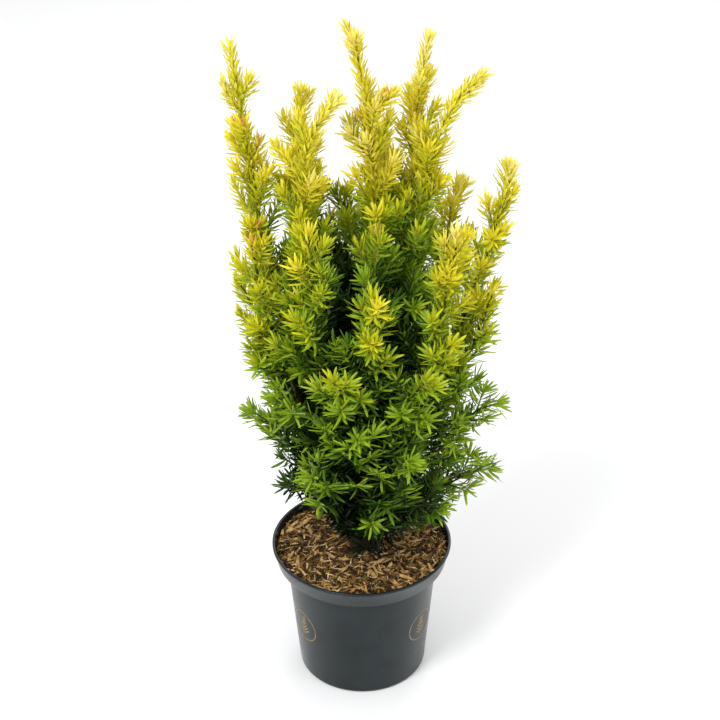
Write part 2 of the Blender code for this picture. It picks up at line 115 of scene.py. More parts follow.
def addSoftbox(name, power, place, size):
    data = bpy.data.lights.new(name, "AREA")
    data.shape = "DISK"
    data.energy = power
    data.size = size
    lamp = bpy.data.objects.new(name, data)
    lamp.location = place
    lamp.rotation_euler = (Vector(studio["aim"]) - Vector(place)).to_track_quat("-Z", "Y").to_euler()
    bpy.context.scene.collection.objects.link(lamp)


def addStudio():
    for name, (power, place, size) in studio["lights"].items():
        addSoftbox(name, power, place, size)
    world = bpy.data.worlds.new("whiteSky")
    world.use_nodes = True
    sky = world.node_tree.nodes["Background"]
    sky.inputs["Color"].default_value = (1.0, 1.0, 1.0, 1.0)
    sky.inputs["Strength"].default_value = studio["skyStrength"]
    bpy.context.scene.world = world
    bpy.context.scene.view_settings.view_transform = "Standard"  # keeps the greens and golds clear
    parts, colour = studio["floorParts"], studio["floorColour"]
    shape = bmesh.new()
    bmesh.ops.create_grid(shape, x_segments=parts, y_segments=parts, size=studio["floorReach"])
    paper = newMaterial("whitePaper", colour, roughness=0.75)
    mottle(paper, colour, [c * studio["floorShade"] for c in colour], scale=3.0)
    addObject("floor", meshFrom(shape, "floor"), paper)
    print("studio:", len(studio["lights"]), "lights and a floor")


# Helpers for numbers, meshes and objects

def clamped(share):
    return min(1.0, max(0.0, share))


def between(low, high, share):
    return low + (high - low) * clamped(share)


def jitter(draw, reach):
    return draw.uniform(-reach, reach)


def onCircle(radius, turn):
    return radius * math.cos(turn), radius * math.sin(turn)


def meshFrom(shape, name):  # a mesh of the bmesh, which is freed
    mesh = bpy.data.meshes.new(name)
    shape.to_mesh(mesh)
    shape.free()
    return mesh


def mended(mesh, merge=False, triangles=False):  # the mesh with its faces turned outwards
    shape = bmesh.new()
    shape.from_mesh(mesh)
    if merge:
        bmesh.ops.remove_doubles(shape, verts=shape.verts, dist=weld)
    bmesh.ops.recalc_face_normals(shape, faces=shape.faces)
    if triangles:
        bmesh.ops.triangulate(shape, faces=shape.faces)
    shape.to_mesh(mesh)
    shape.free()
    return mesh


def bandFaces(first, bands):  # faces between rings of four points each
    faces = []
    for ring in range(first, first + bands * 4, 4):
        for i in range(4):
            a, b = ring + i, ring + (i + 1) % 4
            faces.append((a, b, b + 4, a + 4))
    return faces


def coat(mesh, material):
    mesh.materials.clear()
    mesh.materials.append(material)


def addObject(name, mesh, material=None):
    piece = bpy.data.objects.new(name, mesh)
    bpy.context.scene.collection.objects.link(piece)
    if material:
        coat(mesh, material)
    return piece


def shapedMesh(piece):  # the mesh with its modifiers applied
    graph = bpy.context.evaluated_depsgraph_get()
    return bpy.data.meshes.new_from_object(piece.evaluated_get(graph))


# Helpers for materials

def newMaterial(name, colour, roughness, specular=0.5):
    material = bpy.data.materials.new(name)
    material.use_nodes = True
    shader = material.node_tree.nodes["Principled BSDF"]
    shader.inputs["Base Color"].default_value = (*colour, 1.0)
    shader.inputs["Roughness"].default_value = roughness
    shader.inputs["Specular IOR Level"].default_value = specular
    return material


def addNode(material, kind, **inputs):
    node = material.node_tree.nodes.new(kind)
    for name, value in inputs.items():
        node.inputs[name].default_value = value
    return node


def feedShader(material, output, socket):
    shader = material.node_tree.nodes["Principled BSDF"]
    material.node_tree.links.new(output, shader.inputs[socket])


def noiseOn(material, scale, detail, stretch):  # noise that sits still on the object
    links = material.node_tree.links
    place = addNode(material, "ShaderNodeTexCoord")
    mapping = addNode(material, "ShaderNodeMapping", Scale=stretch)
    pattern = addNode(material, "ShaderNodeTexNoise", Scale=scale, Detail=detail)
    links.new(place.outputs["Object"], mapping.inputs["Vector"])
    links.new(mapping.outputs["Vector"], pattern.inputs["Vector"])
    return pattern.outputs["Fac"]


def rampBetween(material, source, low, high, lowAt=0.35, highAt=0.65):
    ramp = addNode(material, "ShaderNodeValToRGB")
    for element, place, colour in zip(ramp.color_ramp.elements, (lowAt, highAt), (low, high)):
        element.position = place
        element.color = (*colour, 1.0)
    material.node_tree.links.new(source, ramp.inputs["Fac"])
    return ramp.outputs["Color"]


def mottle(material, low, high, scale, stretch=evenly, detail=3.0):
    colour = rampBetween(material, noiseOn(material, scale, detail, stretch), low, high)
    feedShader(material, colour, "Base Color")


def varyRoughness(material, low, high, scale, detail=3.0):
    spread = rampBetween(material, noiseOn(material, scale, detail, evenly), (low,) * 3, (high,) * 3)
    feedShader(material, spread, "Roughness")


def roughen(material, scale, depth, stretch=evenly, strength=0.6, detail=5.0):
    bump = addNode(material, "ShaderNodeBump", Strength=strength, Distance=depth)
    material.node_tree.links.new(noiseOn(material, scale, detail, stretch), bump.inputs["Height"])
    feedShader(material, bump.outputs["Normal"], "Normal")


# The pot

potShape = {
    "height": 0.143,
    "rimRadius": 0.088,
    "lipHeight": 0.0026,
    "lipOut": 0.0011,  # how far the lip stands out of the collar
    "collarHeight": 0.018,
    "collarFootRadius": 0.0835,
    "collarRounding": 0.0006,
    "shoulderDrop": 0.004,
    "shoulderCurve": ((0.0012, 0.45), (0.0003, 0.75)),  # distance out of the body, share of the drop
    "bodyTopRadius": 0.0738,
    "sideMiddle": 0.061,
    "baseRadius": 0.0635,
    "baseRounding": 0.003,
    "wall": 0.0015,
    "floor": 0.002,
    "footRingWidth": 0.006,
    "footRecess": 0.0009,
    "edgeStep": 0.001,  # from an edge to the outline's next point
    "steps": 144,
    "creaseAngle": 35,
    "drainHoles": 6,
    "drainRadius": 0.004,
    "drainRing": 0.047,
    "drainSides": 24,
    "drillDepth": 0.008,
}


def arcPoints(centreRadius, centreHeight, radius, fromDegrees, toDegrees, count):
    turns = [math.radians(fromDegrees + (toDegrees - fromDegrees) * i / count) for i in range(count + 1)]
    return [(centreRadius + radius * math.cos(t), centreHeight + radius * math.sin(t)) for t in turns]


def innerWall(inset=0.0):  # the pot's inner side, from the floor's middle to the rim
    p = potShape
    edge = p["wall"] + inset
    shoulder = p["height"] - p["collarHeight"] + p["wall"]
    return [
        (0.0, p["floor"] + inset),
        (p["baseRadius"] - edge, p["floor"] + inset),
        (p["bodyTopRadius"] - edge, shoulder - p["shoulderDrop"]),
        (p["collarFootRadius"] - edge, shoulder + inset),
        (p["rimRadius"] - edge - p["lipOut"], p["height"]),
    ]


def bodyRadius(height):
    p = potShape
    share = height / (p["height"] - p["collarHeight"] - p["shoulderDrop"])
    return p["baseRadius"] + (p["bodyTopRadius"] - p["baseRadius"]) * share


def potOutline():  # radius and height, up the inner side and down the outer one
    p = potShape
    collarFoot = p["height"] - p["collarHeight"]
    lipFoot = p["height"] - p["lipHeight"]
    lip = p["wall"] / 2
    bend, base, step = p["collarRounding"], p["baseRounding"], p["edgeStep"]
    slope = (p["rimRadius"] - p["lipOut"] - p["collarFootRadius"]) / (p["collarHeight"] - p["lipHeight"])
    ring = p["baseRadius"] - p["footRingWidth"]
    shoulder = [
        (p["bodyTopRadius"] + out, collarFoot - p["shoulderDrop"] * share)
        for out, share in p["shoulderCurve"]
    ]
    return innerWall()[:-1] + [
        *arcPoints(p["rimRadius"] - p["lipOut"] - lip, p["height"] - lip, lip, 180, 90, 4),
        *arcPoints(p["rimRadius"] - lip, p["height"] - lip, lip, 90, 0, 4),
        *arcPoints(p["rimRadius"] - lip, lipFoot + lip, lip, -10, -70, 3),
        (p["rimRadius"] - p["lipOut"] - slope * step, lipFoot - step),
        (p["collarFootRadius"] + slope * step, collarFoot + step),
        *arcPoints(p["collarFootRadius"] - bend, collarFoot + bend, bend, 0, -90, 3),
        *shoulder,
        (p["bodyTopRadius"], collarFoot - p["shoulderDrop"] - step),
        (bodyRadius(p["sideMiddle"]), p["sideMiddle"]),
        *arcPoints(p["baseRadius"] - base, base, base, 0, -90, 5),
        (ring, 0.0),
        (ring - p["footRecess"], p["footRecess"]),
        (0.0, p["footRecess"]),
    ]


def turned(name, profile, steps):  # a profile of radius and height, turned round the Z axis
    mesh = bpy.data.meshes.new(name)
    edges = [(i, i + 1) for i in range(len(profile) - 1)]
    mesh.from_pydata([(radius, 0.0, height) for radius, height in profile], edges, [])
    piece = addObject(name, mesh)
    screw = piece.modifiers.new("turn", "SCREW")
    screw.steps = screw.render_steps = steps
    screw.use_merge_vertices = True
    screw.merge_threshold = weld
    piece.data = shapedMesh(piece)
    piece.modifiers.clear()
    return piece


def addDrill(turn):  # the cutter for one drain hole
    p = potShape
    shape = bmesh.new()
    bmesh.ops.create_cone(
        shape, cap_ends=True, segments=p["drainSides"], radius1=p["drainRadius"], radius2=p["drainRadius"],
        depth=p["drillDepth"], matrix=Matrix.Translation((*onCircle(p["drainRing"], turn), 0.0)),
    )
    return addObject("drill", meshFrom(shape, "drill"))


def makePot():
    p = potShape
    pot = turned("nurseryPot", potOutline(), p["steps"])
    drills = [addDrill(math.tau * number / p["drainHoles"]) for number in range(p["drainHoles"])]
    for drill in drills:
        cut = pot.modifiers.new("drain", "BOOLEAN")
        cut.object = drill
    pot.data = shapedMesh(pot)
    pot.modifiers.clear()
    for drill in drills:
        bpy.data.objects.remove(drill, do_unlink=True)
    pot.data.shade_smooth()
    pot.data.set_sharp_from_angle(angle=math.radians(p["creaseAngle"]))

    plastic = newMaterial("darkPotPlastic", (0.007, 0.013, 0.015), roughness=0.25, specular=0.30)
    mottle(plastic, (0.0050, 0.0100, 0.0115), (0.0095, 0.0165, 0.0185), scale=38.0)
    varyRoughness(plastic, 0.17, 0.30, scale=26.0)
    roughen(plastic, scale=900.0, depth=0.00005, strength=0.35)
    coat(pot.data, plastic)
    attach(pot, "root")
    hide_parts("pot")
    print("pot:", len(pot.data.polygons), "faces")


# Plain sprigs in a ring, printed on the pot's side in muted gold

potPrint = {
    "turns": (-146, -34, 56, 146),  # headings round the pot, in degrees
    "middle": 0.066,
    "ringRadius": 0.0175,
    "ringWidth": 0.0013,
    "ringSteps": 64,
    "stemLength": 0.025,
    "stemShare": 0.8,  # how much of its length the stem itself takes
    "stemWidth": 0.0011,
    "stemTipShare": 0.4,
    "needlePairs": 6,
    "needlesFrom": 0.12,  # shares of the stem's length
    "needlesOver": 0.68,
    "needleLength": 0.0098,
    "needleWidth": 0.0019,
    "needleSplay": 52,
    "needleOutline": ((0.0, 0.3), (0.3, 1.0), (0.72, 0.85), (1.0, 0.0)),  # shares of length and width
    "stagger": 0.0004,
    "splayFade": 0.55,  # towards the sprig's tip
    "lengthFade": 0.3,
    "proud": 0.00012,
}


def printedOutlines():  # flat closed outlines, in metres across and up from the print's middle
    p = potPrint
    inner = p["ringRadius"] - p["ringWidth"]
    outlines = []
    for step in range(p["ringSteps"]):
        turns = [math.tau * (step + part) / p["ringSteps"] for part in (0, 1)]
        innerSide = [onCircle(inner, t) for t in turns]
        outlines.append(innerSide + [onCircle(p["ringRadius"], t) for t in reversed(turns)])
    foot, half = -p["stemLength"] / 2, p["stemWidth"] / 2
    tip, tipHalf = foot + p["stemLength"] * p["stemShare"], half * p["stemTipShare"]
    outlines.append([(-half, foot), (half, foot), (tipHalf, tip), (-tipHalf, tip)])
    for number in range(p["needlePairs"]):
        share = number / (p["needlePairs"] - 1)
        root = foot + p["stemLength"] * (p["needlesFrom"] + p["needlesOver"] * share)
        turn = math.radians(p["needleSplay"]) * (1 - p["splayFade"] * share)
        length = p["needleLength"] * (1 - p["lengthFade"] * share)
        for side in (-1, 1):
            along = Vector((side * math.sin(turn), math.cos(turn)))
            across = Vector((along.y, -along.x)) * p["needleWidth"] / 2
            start = Vector((0.0, root + side * p["stagger"]))
            right = [start + along * length * t + across * w for t, w in p["needleOutline"]]
            left = [start + along * length * t - across * w for t, w in p["needleOutline"][:-1]]
            outlines.append([tuple(point) for point in right + left[::-1]])
    return outlines


def wrapOutline(shape, outline, heading):  # a thin closed plate on the pot's side
    layers = []
    for lift in (-potPrint["proud"], potPrint["proud"]):
        points = []
        for across, up in outline:
            height = potPrint["middle"] + up
            radius = bodyRadius(height)
            turn = math.radians(heading) + across / radius
            points.append(shape.verts.new((*onCircle(radius + lift, turn), height)))
        layers.append(points)
    back, front = layers
    shape.faces.new(front)
    shape.faces.new(back[::-1])
    for i in range(len(front)):
        j = (i + 1) % len(front)
        shape.faces.new((front[j], front[i], back[i], back[j]))


def makePotPrints():
    shape = bmesh.new()
    for heading in potPrint["turns"]:
        for outline in printedOutlines():
            wrapOutline(shape, outline, heading)
    bmesh.ops.recalc_face_normals(shape, faces=shape.faces)
    bmesh.ops.triangulate(shape, faces=shape.faces)
    gold = newMaterial("mutedGoldPrint", (0.21, 0.14, 0.055), roughness=0.45)
    mottle(gold, (0.15, 0.10, 0.04), (0.25, 0.17, 0.07), scale=160.0)
    prints = addObject("potSprigs", meshFrom(shape, "potSprigs"), gold)
    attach(prints, "root")
    print("prints:", len(prints.data.polygons), "faces")


# Geometry Nodes helpers

vectorLow, vectorHigh, numberLow, numberHigh, wholeLow, wholeHigh = range(6)  # a random node's inputs
vectorOut, numberOut, wholeOut = range(3)  # and its outputs


def newTree(name, sockets):
    tree = bpy.data.node_groups.new(name, "GeometryNodeTree")
    for way in ("INPUT", "OUTPUT"):
        tree.interface.new_socket("Geometry", in_out=way, socket_type="NodeSocketGeometry")
    for label, kind in sockets.items():
        tree.interface.new_socket(label, in_out="INPUT", socket_type="NodeSocket" + kind)
    return tree, tree.nodes.new("NodeGroupInput"), tree.nodes.new("NodeGroupOutput")


def treeNode(tree, kind, values=None, **settings):
    node = tree.nodes.new(kind)
    for name, value in settings.items():
        setattr(node, name, value)
    for name, value in (values or {}).items():
        node.inputs[name].default_value = value
    return node


def wireUp(tree, *joins):  # each join is a node and its output, then a node and its input
    for source, output, target, socket in joins:
        tree.links.new(source.outputs[output], target.inputs[socket])


def copyShapes(tree, entry, result):  # the end of a tree, which puts real copies of the shapes on points
    shapes = {"Separate Children": True, "Reset Children": True}
    pick = treeNode(tree, "GeometryNodeCollectionInfo", values=shapes)
    place = treeNode(tree, "GeometryNodeInstanceOnPoints", values={"Pick Instance": True})
    real = treeNode(tree, "GeometryNodeRealizeInstances")
    finish = treeNode(tree, "GeometryNodeSetMaterial")
    wireUp(
        tree,
        (entry, "Shapes", pick, "Collection"),
        (pick, "Instances", place, "Instance"),
        (place, "Instances", real, "Geometry"),
        (real, "Geometry", finish, "Geometry"),
        (entry, "Finish", finish, "Material"),
        (finish, "Geometry", result, "Geometry"),
    )
    return place


def runTree(piece, tree, values):  # applies the tree to the piece, and keeps the result as its plain mesh
    modifier = piece.modifiers.new(tree.name, "NODES")
    modifier.node_group = tree
    labels = {item.name: item.identifier for item in tree.interface.items_tree if item.in_out == "INPUT"}
    for label, value in values.items():
        modifier[labels[label]] = value
    mesh = shapedMesh(piece)
    piece.modifiers.remove(modifier)
    piece.data = mesh
    return mesh


def hiddenCollection(name, meshes):  # shapes for a tree to copy, which are deleted afterwards
    collection = bpy.data.collections.new(name)
    bpy.context.scene.collection.children.link(collection)
    for number, mesh in enumerate(meshes):
        collection.objects.link(bpy.data.objects.new(f"{name}{number}", mesh))
    return collection


def dropCollection(collection):
    for item in list(collection.objects):
        bpy.data.objects.remove(item, do_unlink=True)
    bpy.data.collections.remove(collection)


# The soil

soilShape = {
    "top": 0.134,
    "settled": 0.0006,  # below the top
    "relief": 0.0022,
    "swellShare": 0.7,
    "grain": 0.0007,
    "noiseScale": 60.0,
    "grainFiner": 6,
    "flatRadius": 0.020,
    "riseOver": 0.012,  # from the flat middle outwards
    "levelOver": 0.006,  # before the wall
    "rings": 44,
    "steps": 120,
    "gap": 0.0003,
    "creaseAngle": 50,
}


def soilEdge():
    wall = innerWall(soilShape["gap"])
    foot, rim = wall[-2], wall[-1]
    return foot[0] + (rim[0] - foot[0]) * (soilShape["top"] - foot[1]) / (rim[1] - foot[1])


def soilHeight(x, y):
    s = soilShape
    radius = math.hypot(x, y)
    rise = clamped((radius - s["flatRadius"]) / s["riseOver"])
    rise *= clamped((soilEdge() - radius) / s["levelOver"])
    place = Vector((x, y, s["top"]))
    swell = noise.noise(place * s["noiseScale"])
    grain = noise.noise(place * s["noiseScale"] * s["grainFiner"])
    return s["top"] - s["settled"] + rise * (s["relief"] * s["swellShare"] * swell + s["grain"] * grain)


def makeSoil():
    s = soilShape
    edge = soilEdge()
    top = [(edge * i / s["rings"], s["top"]) for i in range(s["rings"] + 1)]
    soil = turned("soilBed", top + innerWall(s["gap"])[-2::-1], s["steps"])
    for vert in soil.data.vertices:
        if vert.co.z > s["top"] - weld:
            vert.co.z = soilHeight(vert.co.x, vert.co.y)
    mended(soil.data, merge=True)
    soil.data.shade_smooth()
    soil.data.set_sharp_from_angle(angle=math.radians(s["creaseAngle"]))
    loam = newMaterial("pottingSoil", (0.03, 0.018, 0.01), roughness=0.95, specular=0.2)
    mottle(loam, (0.014, 0.008, 0.005), (0.06, 0.034, 0.018), scale=420.0, detail=6.0)
    roughen(loam, scale=700.0, depth=0.0008, strength=0.9)
    coat(soil.data, loam)
    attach(soil, "root")
    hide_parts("soil")
    print("soil:", len(soil.data.polygons), "faces")


# The layer of shredded bark on the soil

mulch = {
    "spread": 0.0822,  # how far out chips are scattered
    "groundSides": 64,
    "groundCuts": 3,
    "wallLimit": 0.0836,  # nothing reaches past this
    "variants": 6,
    "leastSize": 0.55,
    "mostSize": 1.35,
    "lift": 0.0026,
    "tilt": 24.0,
    "kinds": {  # name: colours, chips a square metre, length, width, thickness, seed
        # the darkest chips are near black: partly dark bark, partly painted shade for the gaps between
        # chips
        "darkChips": ((0.014, 0.007, 0.002), (0.050, 0.024, 0.007), 52000, 0.0090, 0.0024, 0.0013, 3),
        "brownChips": ((0.090, 0.042, 0.009), (0.22, 0.115, 0.025), 50000, 0.0100, 0.0021, 0.0011, 11),
        "tanChips": ((0.31, 0.165, 0.045), (0.55, 0.33, 0.110), 22000, 0.0132, 0.0017, 0.0010, 19),
        "broadChips": ((0.30, 0.15, 0.045), (0.62, 0.40, 0.170), 5000, 0.0175, 0.0031, 0.0012, 43),
        "paleFibres": ((0.56, 0.38, 0.17), (0.82, 0.62, 0.35), 16000, 0.0150, 0.0010, 0.0007, 27),
        "mossBits": ((0.040, 0.046, 0.004), (0.12, 0.120, 0.012), 24000, 0.0050, 0.0018, 0.0011, 35),
    },
}
chipShape = {
    "stations": (-0.5, -0.2, 0.2, 0.5),  # shares of its length
    "corners": ((-1, -0.5), (1, -0.5), (1, 0.5), (-1, 0.5)),
    "bend": 0.06,
    "endTaper": (0.25, 0.7),
    "middleTaper": (0.8, 1.15),
    "waver": 0.2,  # shares of its thickness, up and down
    "tear": 0.08,  # how ragged its ends are
    "widths": (0.8, 1.1),
    "heights": (0.7, 1.1),
}


def chipMesh(number, length, width, thickness):  # one torn splinter of bark
    c = chipShape
    draw = random.Random(f"chip {number}")
    bend = jitter(draw, c["bend"]) * length
    verts = []
    for station in c["stations"]:
        torn = station in (c["stations"][0], c["stations"][-1])
        across = width / 2 * draw.uniform(*c["endTaper" if torn else "middleTaper"])
        arch = bend * (1 - 4 * station * station)
        middle = Vector((station * length, arch, jitter(draw, c["waver"]) * thickness))
        for side, up in c["corners"]:
            slip = jitter(draw, c["tear"]) * length if torn else 0.0
            out = side * across * draw.uniform(*c["widths"])
            verts.append(middle + Vector((slip, out, up * thickness * draw.uniform(*c["heights"]))))
    mesh = bpy.data.meshes.new("chip")
    mesh.from_pydata(verts, [], [(3, 2, 1, 0), (12, 13, 14, 15)] + bandFaces(0, len(c["stations"]) - 1))
    return mended(mesh, triangles=True)


def mulchTree():
    tree, entry, result = newTree("mulchScatter", {
        "Shapes": "Collection",
        "Chips per area": "Float",
        "Least size": "Float",
        "Most size": "Float",
        "Lift": "Float",
        "Tilt": "Float",
        "Seed": "Int",
        "Finish": "Material",
    })
    scatter = treeNode(tree, "GeometryNodeDistributePointsOnFaces")
    turn = treeNode(tree, "FunctionNodeRandomValue", data_type="FLOAT_VECTOR")
    lean = treeNode(tree, "ShaderNodeMath", operation="MULTIPLY", values={1: -1.0})
    low = treeNode(tree, "ShaderNodeCombineXYZ", values={"Z": 0.0})
    high = treeNode(tree, "ShaderNodeCombineXYZ", values={"Z": math.tau})
    toTurn = treeNode(tree, "FunctionNodeEulerToRotation")
    spin = treeNode(tree, "FunctionNodeRotateRotation", rotation_space="LOCAL")
    size = treeNode(tree, "FunctionNodeRandomValue", data_type="FLOAT")
    rise = treeNode(tree, "FunctionNodeRandomValue", data_type="FLOAT")
    offset = treeNode(tree, "ShaderNodeCombineXYZ")
    shift = treeNode(tree, "GeometryNodeSetPosition")
    place = copyShapes(tree, entry, result)
    for axis in ("X", "Y"):
        wireUp(tree, (lean, "Value", low, axis), (entry, "Tilt", high, axis))
    for step, node in enumerate((turn, size, rise)):
        seed = treeNode(tree, "ShaderNodeMath", operation="ADD", values={1: step + 1.0})
        wireUp(tree, (entry, "Seed", seed, 0), (seed, "Value", node, "Seed"))
    wireUp(
        tree,
        (entry, "Geometry", scatter, "Mesh"),
        (entry, "Chips per area", scatter, "Density"),
        (entry, "Seed", scatter, "Seed"),
        (entry, "Tilt", lean, 0),
        (low, "Vector", turn, vectorLow),
        (high, "Vector", turn, vectorHigh),
        (turn, vectorOut, toTurn, "Euler"),
        (scatter, "Rotation", spin, "Rotation"),
        (toTurn, "Rotation", spin, "Rotate By"),
        (entry, "Least size", size, numberLow),
        (entry, "Most size", size, numberHigh),
        (entry, "Lift", rise, numberHigh),
        (rise, numberOut, offset, "Z"),
        (scatter, "Points", shift, "Geometry"),
        (offset, "Vector", shift, "Offset"),
        (shift, "Geometry", place, "Points"),
        (spin, "Rotation", place, "Rotation"),
        (size, numberOut, place, "Scale"),
    )
    return tree


def keepInside(mesh, limit):  # pulls points that would stick through the wall back to it
    points = np.empty(len(mesh.vertices) * 3)
    mesh.vertices.foreach_get("co", points)
    points = points.reshape(-1, 3)
    radius = np.hypot(points[:, 0], points[:, 1])
    points[:, :2] *= np.minimum(1.0, limit / np.maximum(radius, weld))[:, None]
    mesh.vertices.foreach_set("co", points.ravel())


def scatterGround():  # the soil's surface again, as far out as chips are scattered
    shape = bmesh.new()
    bmesh.ops.create_circle(shape, cap_ends=True, segments=mulch["groundSides"], radius=mulch["spread"])
    bmesh.ops.triangulate(shape, faces=shape.faces)
    bmesh.ops.subdivide_edges(shape, edges=shape.edges, cuts=mulch["groundCuts"], use_grid_fill=True)
    for vert in shape.verts:
        vert.co.z = soilHeight(vert.co.x, vert.co.y)
    bmesh.ops.recalc_face_normals(shape, faces=shape.faces)
    if sum(face.normal.z for face in shape.faces) < 0:
        bmesh.ops.reverse_faces(shape, faces=shape.faces)
    return meshFrom(shape, "scatterGround")


def makeMulch():
    tree = mulchTree()
    for name, (dark, light, density, length, width, thickness, seed) in mulch["kinds"].items():
        shapes = [chipMesh(seed + i, length, width, thickness) for i in range(mulch["variants"])]
        chips = hiddenCollection(name + "Shape", shapes)
        wood = newMaterial(name + "Wood", dark, roughness=0.85, specular=0.25)
        mottle(wood, dark, light, scale=190.0)
        roughen(wood, scale=1500.0, depth=0.0003)
        piece = addObject(name, scatterGround())
        mesh = runTree(piece, tree, {
            "Shapes": chips,
            "Chips per area": float(density),
            "Least size": mulch["leastSize"],
            "Most size": mulch["mostSize"],
            "Lift": mulch["lift"],
            "Tilt": math.radians(mulch["tilt"]),
            "Seed": seed,
            "Finish": wood,
        })
        keepInside(mesh, mulch["wallLimit"])
        dropCollection(chips)
        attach(piece, "root")
        print("mulch,", name + ":", len(mesh.polygons), "faces")


# The plant's lines, by the same rule as the solids, then carried on to finer shoots

trunkShape = {
    "foot": 0.134,
    "top": 0.395,
    "lean": 0.012,
    "bow": 0.004,
    "footRadius": 0.0085,
    "tipRadius": 0.0026,
    "taperCurve": 0.8,
    "flare": 0.0055,
    "flareHeight": 0.014,
    "sample": 0.01,
}
limbRule = {
    "pathStep": 0.006,
    "lineSample": 0.003,
    "gap": 0.0003,
    "tipRadius": 0.0009,
    "taper": 0.0078,
    "boughShare": 0.17,
    "boughStep": 0.024,
    "startSpread": 20.0,
    "mostStartSpread": 80.0,
    "startHandle": 0.34,
    "tipHandle": 0.22,
    "tipNeedles": 0.008,
}
twigRule = {
    "longest": 0.044,
    "share": 0.3,
    "spacing": 0.042,
    "first": 0.012,
    "lastShare": 0.80,
    "places": (0.3, 0.7),  # where in its stretch of the stem a twig may start
    "lengths": (0.85, 1.1),
    "splay": 46.0,
    "lift": 0.35,
    "roll": 137.5,
    "levelGuide": (0.31, 0.95, 0.02),  # no limb runs this way
    "tries": 7,
    "turn": 51.0,
    "points": 6,
    "shortening": 0.62,
    "baseRadius": 0.0014,
    "clearance": 0.0085,
    "seed": 7,
}
shootRule = {  # the finer shoots between the twigs, and those on the twigs
    "spacing": 0.0125,
    "first": 0.006,
    "lastShare": 0.93,
    "places": (0.2, 0.8),
    "longest": 0.036,
    "shortest": 0.013,
    "shortening": 0.5,
    "lengths": (0.75, 1.1),
    "onTwigSpacing": 0.0125,
    "onTwigFirst": 0.004,
    "onTwigShare": 0.58,
    "baseRadius": 0.0011,
    "tipRadius": 0.0006,
    "splay": 50.0,
    "topSplay": 34.0,  # the leaders' shoots hug their stem
    "topFrom": 0.36,
    "topTo": 0.50,
    "rollJitter": 12,
    "splayJitter": 8,
    "groundClearance": 0.005,
    "fuller": {"west_leader": 1.3, "northwest_leader": 1.3, "north_leader": 1.2},  # longer side shoots
    "fullerBelow": 0.50,
    "sparseFrom": 0.50,  # the leaders' ends have few side shoots
    "sparseTo": 0.58,
    "sparseShare": 0.36,
    "seed": 21,
}
footShoots = {
    "count": 64,
    "first": 0.005,  # above the soil
    "last": 0.110,
    "crowding": 1.4,  # above 1, more of them stand low
    "shortest": 0.028,
    "longest": 0.044,
    "thickening": 0.0006,  # from tip to base
    "splay": (48.0, 82.0),
    "rollJitter": 15,
    "seed": 33,
}

limbRow = namedtuple("limbRow", "name fork heading reach height lean leanHeading", defaults=[None])

# Fork height, then the tip's heading, reach, height and lean, in metres and degrees.
# A heading of -90 is the front.
leaders = [
    limbRow("west_leader", 0.232, 174, 0.107, 0.649, 7),
    limbRow("northwest_leader", 0.284, 143, 0.062, 0.600, -6),
    limbRow("hooked_leader", 0.322, -123, 0.024, 0.611, 52, 0),
    limbRow("northeast_leader", 0.301, 27, 0.069, 0.649, 15),
    limbRow("east_hooked_leader", 0.261, 0, 0.108, 0.625, 53),
    limbRow("east_leader", 0.214, 8, 0.138, 0.534, 14),
    limbRow("north_leader", 0.271, 100, 0.074, 0.487, 5),
    limbRow("front_left_leader", 0.241, -130, 0.066, 0.507, 0),
    limbRow("west_front_leader", 0.217, -168, 0.096, 0.484, 6),
    limbRow("front_inner_leader", 0.312, -68, 0.040, 0.498, 6),
    limbRow("front_leader", 0.259, -81, 0.071, 0.456, 4),
    limbRow("front_right_leader", 0.238, -31, 0.098, 0.505, 5),
    limbRow("east_low_leader", 0.190, -6, 0.121, 0.428, 16),
    limbRow("west_low_leader", 0.204, 170, 0.114, 0.424, 30),
    limbRow("back_east_leader", 0.289, 70, 0.066, 0.556, 8),
    limbRow("back_west_leader", 0.249, 121, 0.098, 0.540, 6),
    limbRow("back_leader", 0.219, 84, 0.106, 0.470, 10),
    limbRow("east_back_leader", 0.237, 36, 0.112, 0.500, 10),
]
sprays = [
    limbRow("west_mid_spray", 0.184, -178, 0.103, 0.366, 58),
    limbRow("west_low_spray", 0.164, 176, 0.109, 0.290, 66),
    limbRow("east_mid_spray", 0.170, -2, 0.134, 0.302, 80),
    limbRow("east_low_spray", 0.152, 5, 0.131, 0.216, 95),
    limbRow("east_front_low_spray", 0.160, -28, 0.092, 0.210, 96),
    limbRow("front_right_low_spray", 0.172, -58, 0.090, 0.284, 66),
    limbRow("front_low_spray", 0.186, -92, 0.084, 0.314, 60),
    limbRow("front_left_low_spray", 0.168, -126, 0.084, 0.262, 66),
    limbRow("front_foot_spray", 0.156, -79, 0.058, 0.202, 62),
    limbRow("front_right_mid_spray", 0.201, -52, 0.098, 0.372, 46),
    limbRow("front_left_mid_spray", 0.209, -106, 0.090, 0.378, 46),
    limbRow("back_low_spray", 0.180, 82, 0.092, 0.296, 62),
    limbRow("back_west_low_spray", 0.170, 132, 0.096, 0.268, 66),
    limbRow("back_east_low_spray", 0.164, 46, 0.100, 0.262, 68),
    limbRow("back_foot_spray", 0.157, 104, 0.060, 0.206, 64),
    limbRow("back_east_mid_spray", 0.196, 58, 0.104, 0.376, 44),
    limbRow("back_west_mid_spray", 0.200, 112, 0.102, 0.384, 44),
]
centralLeader = limbRow("central_leader", None, 180, 0.011, 0.672, 22)
limbs = [*leaders, *sprays, centralLeader]


